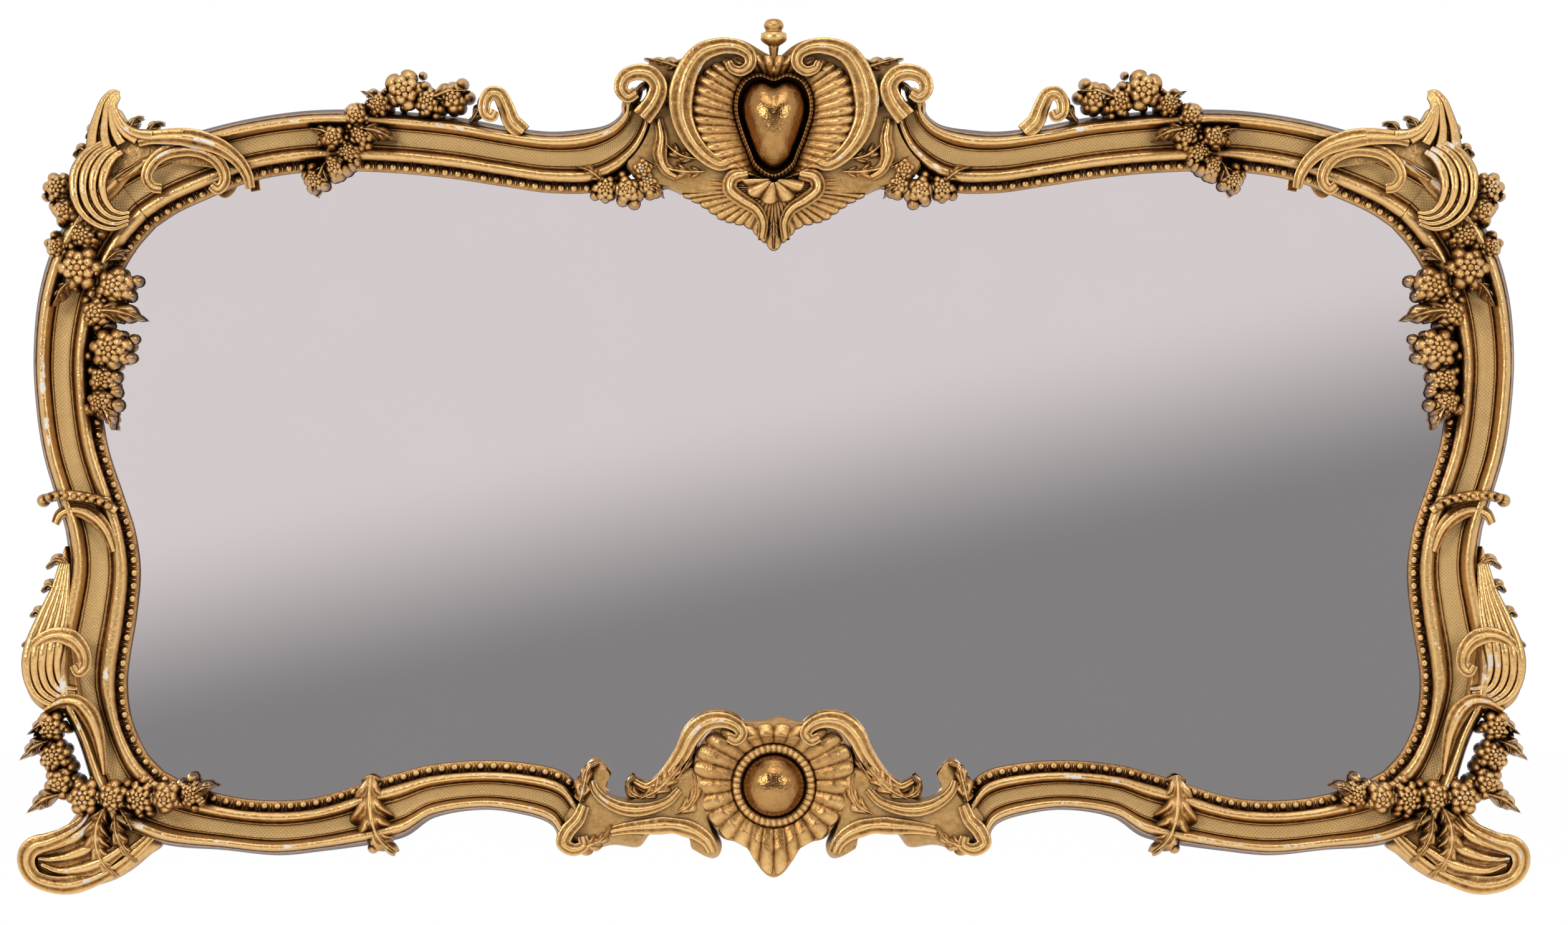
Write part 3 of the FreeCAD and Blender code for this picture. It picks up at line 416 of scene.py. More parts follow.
def add_dome(carving: Carving, outline: np.ndarray, back: float, front: float, rings: int = 10,
             power: float = 2.0, glow: float = 0.75) -> None:
    """Dome over an outline: each ring is the outline drawn in, its depth follows a rounded curve.

    Args:
        carving: Mesh that gets the dome.
        outline: Closed outline in the plane of the back.
        back: Depth of its foot.
        front: Depth of its top.
        rings: Number of rings.
        power: Roundness of the section; 2 is a half circle.
        glow: How proud the top counts for the gilding.
    """
    middle = outline.mean(axis=0)
    way = np.linspace(0, 1, rings)[:, None]
    size = np.cos(way * math.pi / 2)
    rise = np.sin(way * math.pi / 2) ** (2 / power)
    grid = middle + (outline - middle)[None] * size[..., None]
    grid = grid + forward(back + (front - back) * rise * np.ones((1, len(outline))))
    carving.add_grid(grid, np.clip(0.2 + (glow - 0.2) * rise, 0, 1) * np.ones((1, len(outline))),
                     wrap=(False, True), caps=True)


def add_pillow(carving: Carving, outline: np.ndarray, back: float, wall: float, front: float,
               inset: float = 0.75, wave: int = 0) -> None:
    """Carved block: straight wall from the back, then a rounded shoulder to a softly domed face.

    Args:
        carving: Mesh that gets the block.
        outline: Closed outline in the plane of the back.
        back: Depth of its back.
        wall: Depth where the shoulder starts.
        front: Depth of its middle.
        inset: Size of the outline where the shoulder ends.
        wave: Number of flutes that run out to the edge; 0 for none.
    """
    middle = outline.mean(axis=0)
    size = np.array([0.0, 1.0, 1.0, 0.975, 0.92, 0.84, inset, 0.5, 0.3, 0.12, 0.0])
    rise = np.array([-1.0, -1.0, 0.0, 0.30, 0.58, 0.78, 0.88, 0.95, 0.985, 1.0, 1.0])
    shine = np.array([0.1, 0.1, 0.35, 0.75, 0.9, 0.7, 0.55, 0.6, 0.7, 0.8, 0.85])
    depth = np.where(rise < 0, back, wall + (front - wall) * rise)
    grid = middle + (outline - middle)[None] * size[:, None, None]
    depth = depth[:, None] * np.ones((1, len(outline)))
    relief = shine[:, None] * np.ones((1, len(outline)))
    if wave:
        turn = np.arctan2(outline[:, 2] - middle[2], outline[:, 0] - middle[0])
        flute = 0.5 + 0.5 * np.cos(wave * turn)
        grip = np.clip(1 - np.abs(size - 0.75) / 0.45, 0, 1)[:, None] * (rise >= 0)[:, None]
        depth = depth - 0.45 * (front - wall) * grip * flute[None]
        relief = np.clip(relief - 0.5 * grip * flute[None], 0, 1)
    carving.add_grid(grid + forward(depth), relief, wrap=(False, True))


def closed_outline(shares: Shares, count: int, symmetric: bool = False) -> np.ndarray:
    """Smooth closed outline through given places.

    Args:
        shares: Places of the left half.
        count: Number of points wanted.
        symmetric: Whether the right half is added.

    Returns:
        Points of the outline.
    """
    left = spots(shares)
    if symmetric:
        left = np.vstack([left, left[-2:0:-1] * np.array(TURN_OVER)])
    return smooth_path(left, count, closed=True)


@dataclass(frozen=True)
class Gilding:
    """Gold leaf on carved wood: bole and painted shade in the hollows, rubbed gold and painted highlight on
    the ridges, gesso where it is lost.
    """

    name: str
    dark: Triple
    gold: Triple
    light: Triple
    matt: Triple = (0.88, 0.58, 0.23)
    gesso: Triple = (0.82, 0.78, 0.70)
    loss: float = 0.77
    roughness: float = 0.30
    polish: float = 0.10
    metal: float = 0.90
    plain: float | None = None

    def material(self) -> bpy.types.Material:
        """Node material that reads the relief, hatch and flat attributes of a carving.

        Returns:
            The finished material.
        """
        nodes = NodeDesk(bpy.data.materials.new(self.name))
        where = nodes.place()
        if self.plain is None:
            relief = nodes.attribute("relief")
        else:
            relief = nodes.times(self.plain, nodes.faces_front())
        patch = nodes.noise(where, scale=9.0, detail=5.0, rough=0.6)
        speck = nodes.noise(where, scale=160.0, detail=4.0, rough=0.65)
        grain = nodes.noise(where, scale=420.0, detail=3.0, rough=0.5)
        # Painted shade and painted highlight, with bole and rubbed gold: the colour runs from dark in the
        # hollows to light on the ridges by the relief.
        level = nodes.sum(nodes.sum(relief, nodes.times(nodes.sum(patch, -0.5), 0.70)),
                          nodes.times(nodes.sum(speck, -0.5), 0.70))
        tone = nodes.ramp(level, ((0.14, self.dark), (0.50, self.gold), (0.92, self.light)))
        # Painted shade: the colour darkens where ambient occlusion finds nearby surfaces, in creases and
        # between pieces, except on the combed ground.
        hollow = nodes.new("ShaderNodeAmbientOcclusion")
        hollow.samples = 6
        hollow.inputs["Distance"].default_value = 0.016
        recess_shade = nodes.less(nodes.step(hollow.outputs["AO"], low=0.25, high=0.85))
        hatch = nodes.attribute("hatch")
        comb = nodes.comb()
        recess_shade = nodes.times(recess_shade, nodes.less(hatch, 0.8))
        tone = nodes.mix(nodes.times(hatch, 0.80), tone, self.matt)
        tone = nodes.mix(nodes.times(nodes.times(hatch, comb), 0.28), tone, self.dark)
        tone = nodes.mix(nodes.times(recess_shade, 0.85), tone, self.dark)
        flake = nodes.noise(where, scale=24.0, detail=6.0, rough=0.7)
        lost = nodes.sum(nodes.sum(nodes.times(relief, 0.55), nodes.times(flake, 0.75)),
                         nodes.times(speck, 0.18))
        bare = nodes.step(lost, self.loss + 0.30, self.loss + 0.36)
        tone = nodes.mix(bare, tone, self.gesso)
        nodes.put("Base Color", tone)
        leaf = nodes.times(nodes.less(bare), nodes.less(hatch, 0.7))
        nodes.put("Metallic", nodes.times(leaf, self.metal))
        rough = nodes.sum(nodes.sum(self.roughness, nodes.times(speck, 0.22)), nodes.times(bare, 0.25))
        rough = nodes.sum(rough, nodes.times(relief, -self.polish))
        nodes.put("Roughness", nodes.sum(rough, nodes.times(hatch, 0.12)))
        height = nodes.sum(nodes.sum(nodes.times(grain, 0.35), nodes.times(speck, 0.8)),
                           nodes.sum(nodes.times(nodes.times(hatch, comb), -1.2), nodes.times(bare, -0.5)))
        nodes.bump(nodes.sum(height, nodes.times(nodes.noise(where, scale=60.0, detail=3.0, rough=0.6), 1.6)),
                   strength=0.55, distance=0.0014)
        return nodes.owner


class NodeDesk:
    """Short calls for building the node tree of a material or a world."""

    def __init__(self, owner: bpy.types.Material | bpy.types.World) -> None:
        """Work on the tree of this owner."""
        owner.use_nodes = True
        self.owner = owner
        self.tree = owner.node_tree

    def put(self, name: str, value: object) -> None:
        """Lead a socket, or set a number or colour, into an input of the shader."""
        self.link(value, self.tree.nodes["Principled BSDF"].inputs[name])

    def glow(self, colour: object) -> None:
        """Let the material shine in a colour and do nothing else."""
        node = self.new("ShaderNodeEmission")
        self.link(colour, node.inputs["Color"])
        self.link(node.outputs[0], self.tree.nodes["Material Output"].inputs["Surface"])

    def place(self) -> Socket:
        """Where a point lies on its object."""
        return self.new("ShaderNodeTexCoord").outputs["Object"]

    def apart(self, vector: Socket) -> bpy.types.NodeOutputs:
        """The three numbers of a vector."""
        node = self.new("ShaderNodeSeparateXYZ")
        self.link(vector, node.inputs[0])
        return node.outputs

    def seen(self) -> Socket:
        """One for light that goes straight, mirrored or through glass to the camera, else zero."""
        ray = self.new("ShaderNodeLightPath").outputs
        return self.math("MAXIMUM", ray["Is Camera Ray"],
                         self.math("MAXIMUM", ray["Is Glossy Ray"], ray["Is Transmission Ray"]))

    def less(self, value: object, share: float = 1.0) -> Socket:
        """One less a share of a value."""
        return self.sum(self.times(value, -share), 1.0)

    def new(self, kind: str) -> bpy.types.Node:
        """Add a node of this kind."""
        return self.tree.nodes.new(kind)

    def link(self, value: object, socket: Socket) -> None:
        """Lead a socket, or set a number or colour, into an input."""
        if isinstance(value, Socket):
            self.tree.links.new(value, socket)
        elif isinstance(value, tuple):
            socket.default_value = value + (1.0,) if len(value) == 3 else value
        else:
            socket.default_value = value

    def math(self, operation: str, first: object, second: object) -> Socket:
        """Arithmetic on two values."""
        node = self.new("ShaderNodeMath")
        node.operation = operation
        self.link(first, node.inputs[0])
        self.link(second, node.inputs[1])
        return node.outputs[0]

    def sum(self, first: object, second: object) -> Socket:
        """Sum of two values."""
        return self.math("ADD", first, second)

    def times(self, first: object, second: object) -> Socket:
        """Product of two values."""
        return self.math("MULTIPLY", first, second)

    def attribute(self, name: str) -> Socket:
        """A float attribute of the mesh."""
        node = self.new("ShaderNodeAttribute")
        node.attribute_name = name
        return node.outputs["Fac"]

    def faces_front(self) -> Socket:
        """One on faces that look forward or sideways, minus one on the ungilt back."""
        normal = self.apart(self.new("ShaderNodeNewGeometry").outputs["Normal"])
        return self.less(self.step(normal["Y"], low=0.6, high=0.8), 2.0)

    def noise(self, where: Socket, scale: float, detail: float, rough: float) -> Socket:
        """Fractal noise at a place."""
        node = self.new("ShaderNodeTexNoise")
        node.inputs["Scale"].default_value = scale
        node.inputs["Detail"].default_value = detail
        node.inputs["Roughness"].default_value = rough
        self.link(where, node.inputs["Vector"])
        return node.outputs["Fac"]

    def ramp(self, value: object, stops: Sequence[Tuple[float, Triple]]) -> Socket:
        """Colour by value, through given stops."""
        node = self.new("ShaderNodeValToRGB")
        points = node.color_ramp.elements
        while len(points) < len(stops):
            points.new(0.5)
        for point, (at, colour) in zip(points, stops):
            point.position = at
            point.color = colour + (1.0,)
        self.link(value, node.inputs["Fac"])
        return node.outputs["Color"]

    def mix(self, share: object, first: object, second: object) -> Socket:
        """Blend of two colours."""
        node = self.new("ShaderNodeMix")
        node.data_type = "RGBA"
        self.link(share, node.inputs["Factor"])
        self.link(first, node.inputs[6])
        self.link(second, node.inputs[7])
        return node.outputs[2]

    def step(self, value: object, low: float, high: float) -> Socket:
        """Smooth step from 0 to 1 between two levels."""
        node = self.new("ShaderNodeMapRange")
        node.interpolation_type = "SMOOTHSTEP"
        self.link(value, node.inputs["Value"])
        node.inputs["From Min"].default_value = low
        node.inputs["From Max"].default_value = high
        return node.outputs["Result"]

    def comb(self) -> Socket:
        """Crossed combed lines on the flat map of a moulding, about three to the centimetre."""
        node = self.new("ShaderNodeAttribute")
        node.attribute_name = "flat"
        run, reach, _ = self.apart(node.outputs["Vector"])
        lines = []
        for lean in (1.0, -1.0):
            slope = self.sum(run, self.times(reach, lean))
            wave = self.math("SINE", self.times(slope, COMB_WAVES), 0.0)
            lines.append(self.step(wave, low=0.35, high=0.9))
        return self.math("MAXIMUM", lines[0], lines[1])

    def bump(self, height: Socket, strength: float, distance: float) -> None:
        """Relief of the surface from a height value."""
        node = self.new("ShaderNodeBump")
        node.inputs["Strength"].default_value = strength
        node.inputs["Distance"].default_value = distance
        self.link(height, node.inputs["Height"])
        self.put("Normal", node.outputs["Normal"])


@dataclass(frozen=True)
class Silvering:
    """Silvered glass of the plate, faintly clouded with age."""

    name: str = "silvered_plate"
    tint: Triple = (0.86, 0.85, 0.86)

    def material(self) -> bpy.types.Material:
        """Mirror material with very small variations of gloss.

        Returns:
            The finished material.
        """
        nodes = NodeDesk(bpy.data.materials.new(self.name))
        where = nodes.place()
        cloud = nodes.noise(where, scale=6.0, detail=4.0, rough=0.5)
        darker = tuple(0.97 * channel for channel in self.tint)
        nodes.put("Base Color", nodes.mix(cloud, self.tint, darker))
        nodes.put("Metallic", 1.0)
        nodes.put("Roughness", nodes.times(cloud, 0.03))
        return nodes.owner


@dataclass(frozen=True)
class Timber:
    """Old softwood or beech: long grain, saw marks and dust."""

    name: str
    dark: Triple
    light: Triple
    stretch: Triple = (1.5, 30.0, 30.0)

    def material(self) -> bpy.types.Material:
        """Grain as noise drawn out along X.

        Returns:
            The finished material.
        """
        nodes = NodeDesk(bpy.data.materials.new(self.name))
        where = nodes.place()
        pull = nodes.new("ShaderNodeMapping")
        pull.inputs["Scale"].default_value = self.stretch
        nodes.link(where, pull.inputs["Vector"])
        grain = nodes.noise(pull.outputs["Vector"], scale=4.0, detail=8.0, rough=0.6)
        nodes.put("Base Color", nodes.ramp(grain, ((0.30, self.dark), (0.70, self.light))))
        nodes.put("Roughness", nodes.sum(0.62, nodes.times(grain, 0.2)))
        nodes.bump(grain, strength=0.4, distance=0.001)
        return nodes.owner


@dataclass(frozen=True)
class Steel:
    """Dull steel of screws, straps and rings."""

    name: str
    colour: Triple

    def material(self) -> bpy.types.Material:
        """Metal with blotches of tarnish.

        Returns:
            The finished material.
        """
        nodes = NodeDesk(bpy.data.materials.new(self.name))
        where = nodes.place()
        blotch = nodes.noise(where, scale=180.0, detail=5.0, rough=0.6)
        rust = tuple(0.5 * channel for channel in self.colour)
        nodes.put("Base Color", nodes.ramp(blotch, ((0.35, rust), (0.65, self.colour))))
        nodes.put("Metallic", 0.9)
        nodes.put("Roughness", nodes.sum(0.32, nodes.times(blotch, 0.25)))
        nodes.bump(blotch, strength=0.2, distance=0.0003)
        return nodes.owner


WHITE = (1.0, 1.0, 1.0)
# Stations of the mouldings in thousandths: x and z on the sight edge, then on the outer edge
CORNER_TOP = (820, 762, 880, 830)
COLLAR = (862, 455, 953, 452)
CORNER_BOTTOM = (808, 140, 885, 78)
CLASP = (530, 131, 525, 57)
RAIL_STATIONS: Dict[str, Shares] = {
    "top_rail": (
        (148, 905, 199, 905), (153, 868, 205, 890), (176, 833, 224, 879),
        (222, 805, 258, 874), (290, 801, 300, 872), (360, 809, 355, 878),
        (430, 818, 425, 889), (520, 825, 520, 896), (610, 825.5, 615, 896),
        (690, 815, 705, 885), (755, 793, 788, 866), (792, 778, 838, 849),
        CORNER_TOP),
    "upper_stile": (
        CORNER_TOP, (845, 737, 920, 795), (865, 707, 955, 745),
        (884, 662, 976, 685), (894, 610, 983, 615), (891, 555, 979, 553),
        (882, 508, 970, 503), COLLAR),
    "lower_stile": (
        COLLAR, (847, 415, 940, 413), (840, 370, 937, 372),
        (845, 318, 948, 325), (854, 270, 960, 275), (857, 238, 955, 228),
        (851, 200, 925, 178), (832, 163, 905, 125), CORNER_BOTTOM),
    "bottom_rail": (
        CORNER_BOTTOM, (770, 124, 808, 56), (715, 111, 730, 50),
        (655, 107, 658, 44), (600, 112, 596, 49), CLASP),
    "bottom_arch": (
        CLASP, (497, 139, 487, 66), (455, 148, 450, 87),
        (385, 153, 385, 96), (320, 149, 330, 90), (275, 138, 296, 79),
        (248, 112, 283, 60))}


@dataclass
class Rails:
    """The serpentine mouldings: one section carried along the stations of each rail."""

    # Share of the width outside the ledge, rise above the ledge in millimetres, and how proud it stands; the
    # gilding turns the last into painted shade in the grooves and on the outer fall, where it goes below
    # zero, and painted highlight on the ridges
    face: Shares = (
        (0.000, 4.0, 0.05), (0.010, 9.0, 0.35), (0.040, 14.0, 0.75), (0.085, 16.6, 0.95),
        (0.130, 17.0, 1.00), (0.175, 15.5, 0.90), (0.215, 12.2, 0.60), (0.240, 9.0, 0.05),
        (0.252, 8.8, 0.05), (0.262, 10.4, 0.60), (0.285, 10.4, 0.55), (0.300, 8.0, 0.20),
        (0.360, 5.6, 0.45), (0.440, 4.8, 0.50), (0.520, 5.6, 0.45), (0.585, 8.2, 0.30),
        (0.600, 11.0, 0.60), (0.622, 11.4, 0.55), (0.634, 10.2, 0.02), (0.650, 16.0, 0.40),
        (0.680, 22.5, 0.75), (0.725, 27.2, 1.00), (0.775, 27.8, 1.00), (0.820, 25.2, 0.80),
        (0.852, 20.5, 0.40), (0.862, 18.4, 0.02), (0.885, 17.4, 0.50), (0.908, 12.0, 0.30),
        (0.942, 2.0, 0.05), (0.975, -9.0, -0.25), (1.000, -20.0, -0.30))
    hollow: Tuple[float, float] = (0.305, 0.590)
    rows_per_metre: float = 420.0

    def section(self) -> Tuple[np.ndarray, np.ndarray, np.ndarray, np.ndarray, np.ndarray]:
        """Closed section of the moulding, starting at the lip that holds the plate.

        Returns:
            Fixed reach, share of the remaining width, depth, relief and hatch of each point.
        """
        face = smooth_path(np.asarray(self.face), 120)
        fixed = np.concatenate([[0, 0, 0.001, 0.0115], np.full(len(face), LEDGE_WIDTH),
                                [LEDGE_WIDTH, BOARD_REACH, BOARD_REACH, PLATE_LIP, PLATE_LIP]])
        share = np.concatenate([[0, 0, 0, 0], face[:, 0], [1, 0, 0, 0, 0]])
        depth = np.concatenate([[PLATE_DEPTH, LEDGE_DEPTH - LEDGE_ROUND, LEDGE_DEPTH, LEDGE_DEPTH],
                                LEDGE_DEPTH + face[:, 1] * MILLIMETRE,
                                [0, 0, BOARD_DEPTH, BOARD_DEPTH, PLATE_DEPTH]])
        relief = np.concatenate([[0.2, 0.5, 0.55, 0.05], face[:, 2], [0, 0, 0, 0, 0]])
        inside = (face[:, 0] > self.hollow[0]) & (face[:, 0] < self.hollow[1])
        hatch = np.concatenate([[0, 0, 0, 0], inside.astype(float), [0, 0, 0, 0, 0]])
        return fixed, share, depth, relief, hatch

    def build(self) -> Pieces:
        """Point = sight edge + reach across to the outer edge + depth forward, for every station.

        Returns:
            The rails by node name.
        """
        made = {}
        fixed, share, depth, relief, hatch = self.section()
        for name, stations in RAIL_STATIONS.items():
            table = np.asarray(stations)
            ends = np.concatenate([spots(table[:, :2]), spots(table[:, 2:])], axis=1)
            length = np.linalg.norm(np.diff(ends[:, :3], axis=0), axis=1).sum()
            run = smooth_path(ends, int(length * self.rows_per_metre))
            inner, outer = run[:, None, :3], run[:, None, 3:]
            width = np.linalg.norm(outer - inner, axis=2)
            reach = fixed[None] + share[None] * (width - LEDGE_WIDTH)
            grid = inner + (outer - inner) / width[..., None] * reach[..., None] + forward(depth)[None]
            travel = np.concatenate([[0], np.cumsum(np.linalg.norm(np.diff(run[:, :3], axis=0), axis=1))])
            flat = np.stack(np.broadcast_arrays(travel[:, None], reach), axis=-1)
            carving = Carving()
            carving.add_grid(grid, relief[None], hatch[None], (False, True), True, flat)
            made.update(carving.pair(name))
        return made


@dataclass
class Beads:
    """Bead and reel along the ledge of the sight edge."""

    radius: float = 0.0052
    pitch: float = 0.0155
    reel_share: float = 0.30
    spare_start: int = 2

    def line(self) -> np.ndarray:
        """Middle of the ledge from the crest round to the cartouche.

        Returns:
            Points, evenly spaced by the pitch.
        """
        stations = list(RAIL_STATIONS["top_rail"][self.spare_start:])
        for name in ("upper_stile", "lower_stile", "bottom_rail", "bottom_arch"):
            stations += RAIL_STATIONS[name][1:]
        table = np.asarray(stations)
        inner, outer = spots(table[:, :2]), spots(table[:, 2:])
        across = (outer - inner) / np.linalg.norm(outer - inner, axis=1, keepdims=True)
        fine = smooth_path(inner + across * LEDGE_WIDTH / 2, 4000)
        travel = np.concatenate([[0], np.cumsum(np.linalg.norm(np.diff(fine, axis=0), axis=1))])
        marks = np.arange(self.pitch / 2, travel[-1], self.pitch / 2)
        return np.stack([np.interp(marks, travel, fine[:, axis]) for axis in range(3)], axis=1)

    def build(self) -> Pieces:
        """Each bead is a half ball of rings; every second one is squeezed along the line to a reel.

        Returns:
            The two strings by node name.
        """
        marks = self.line()
        along, across = along_and_across(marks)
        lift = np.linspace(-0.15, math.pi / 2, 5)[:, None]
        turn = np.linspace(0, 2 * math.pi, 10, endpoint=False)[None, :]
        ball = np.stack([np.cos(lift) * np.cos(turn), np.cos(lift) * np.sin(turn),
                         np.sin(lift) * np.ones_like(turn)], axis=-1)
        carving = Carving()
        for index, (mark, way, out) in enumerate(zip(marks, along, across)):
            reel = index % 2
            squeeze = self.reel_share if reel else 1.0
            size = self.radius * (0.86 if reel else 1.0)
            grid = (mark + way * (ball[..., :1] * size * squeeze) + out * (ball[..., 1:2] * size)
                    + forward(LEDGE_DEPTH + ball[..., 2] * size))
            carving.add_grid(grid, np.clip(0.15 + 0.8 * np.sin(lift), 0, 1) * np.ones_like(turn),
                             wrap=(False, True), caps=True)
        return carving.pair("bead_string", "beads")


def mirrored_shares(shares: Shares) -> Shares:
    """The same places on the right-hand half."""
    return tuple((-row[0],) + tuple(row[1:]) for row in shares)


@dataclass
class Spray:
    """Cluster of carved flowers and leaves."""

    node: str
    flowers: Shares
    leaves: Shares
    front: float
    petals: Sequence[int] = (5, 6, 5, 7)
    buds: int = 7
    bud_reach: float = 0.021
    bud_radius: float = 0.0075

    def add_buds(self, carving: Carving, index: int, flower: Tuple[float, ...]) -> None:
        """Small buds round a flower, at turns of the golden angle.

        Args:
            carving: Mesh that gets the buds.
            index: Number of the flower, which turns its buds.
            flower: x and z in thousandths, and size of the flower.
        """
        for bud in range(self.buds):
            angle = 2.4 * (self.buds * index + bud)
            reach = self.bud_reach * flower[2] * (0.90 + 0.25 * math.sin(1.7 * bud + index))
            spot = (flower[0] + PER_MILLE * reach * math.cos(angle) / HALF_WIDTH,
                    flower[1] + PER_MILLE * reach * math.sin(angle) / HEIGHT)
            radius = self.bud_radius * (0.70 + 0.45 * abs(math.sin(3.1 * bud + index)))
            front = self.front - 0.017 + 0.006 * math.sin(5.0 * bud)
            add_dome(carving, round_outline(spots([spot])[0], radius, count=12), CARVING_SEAT, front, rings=6)

    def build(self) -> Pieces:
        """Carve the flowers and leaves on both sides.

        Returns:
            The two sprays by node name.
        """
        carving = Carving()
        for index, flower in enumerate(self.flowers):
            petals = self.petals[index % len(self.petals)]
            step = 0.004 * math.sin(2.4 * index)
            add_blossom(carving, flower, self.front + step, petals, turn=0.7 * index)
            self.add_buds(carving, index, flower)
        for root_x, root_z, tip_x, tip_z in self.leaves:
            middle = ((root_x + tip_x) / 2, (root_z + tip_z) / 2 + 4)
            length = math.hypot((root_x - tip_x) * HALF_WIDTH, (root_z - tip_z) * HEIGHT)
            front = self.front / MILLIMETRE
            add_blade(carving, ((root_x, root_z), middle, (tip_x, tip_z)),
                      (0.10 * length, 0.26 * length, 0.20 * length, 0.0),
                      (front - 6, front - 2, front - 12), lobes=3)
        return carving.pair(self.node)


SPRAYS = (
    Spray("top_spray", (
        (487, 916, 1.15), (455, 903, 0.80), (425, 908, 0.85), (520, 900, 0.70),
        (549, 887, 0.75), (545, 866, 0.70), (580, 862, 0.72), (562, 846, 0.70),
        (580, 830, 0.62), (605, 815, 0.60)),
        ((590, 833, 607, 797), (545, 872, 497, 858), (455, 905, 400, 915),
         (520, 900, 545, 915), (575, 860, 615, 872)), 0.080),
    Spray("stile_spray", (
        (943, 806, 0.85), (933, 780, 0.80), (910, 752, 0.90), (915, 714, 1.25),
        (869, 694, 1.05), (892, 664, 0.85), (874, 622, 1.15), (884, 588, 0.80),
        (887, 562, 0.75), (945, 738, 0.60)),
        ((895, 666, 831, 655), (885, 560, 872, 530), (925, 700, 950, 670),
         (880, 720, 850, 735)), 0.080, (6, 5, 7, 6)),
    Spray("foot_spray", (
        (953, 193, 0.90), (948, 162, 0.92), (941, 130, 0.92), (908, 114, 1.05),
        (872, 114, 0.95), (836, 112, 0.95), (800, 113, 0.90), (768, 117, 0.75)),
        ((955, 178, 994, 155), (948, 200, 984, 184), (940, 118, 985, 95),
         (765, 117, 735, 124), (860, 100, 845, 75)), 0.080, (6, 7, 5, 6)),
    Spray("crest_spray", (
        (222, 806, 0.70), (194, 804, 0.75), (166, 812, 0.75), (172, 827, 0.65)),
        ((224, 812, 262, 830), (166, 808, 145, 795)), 0.062, (6, 5)))


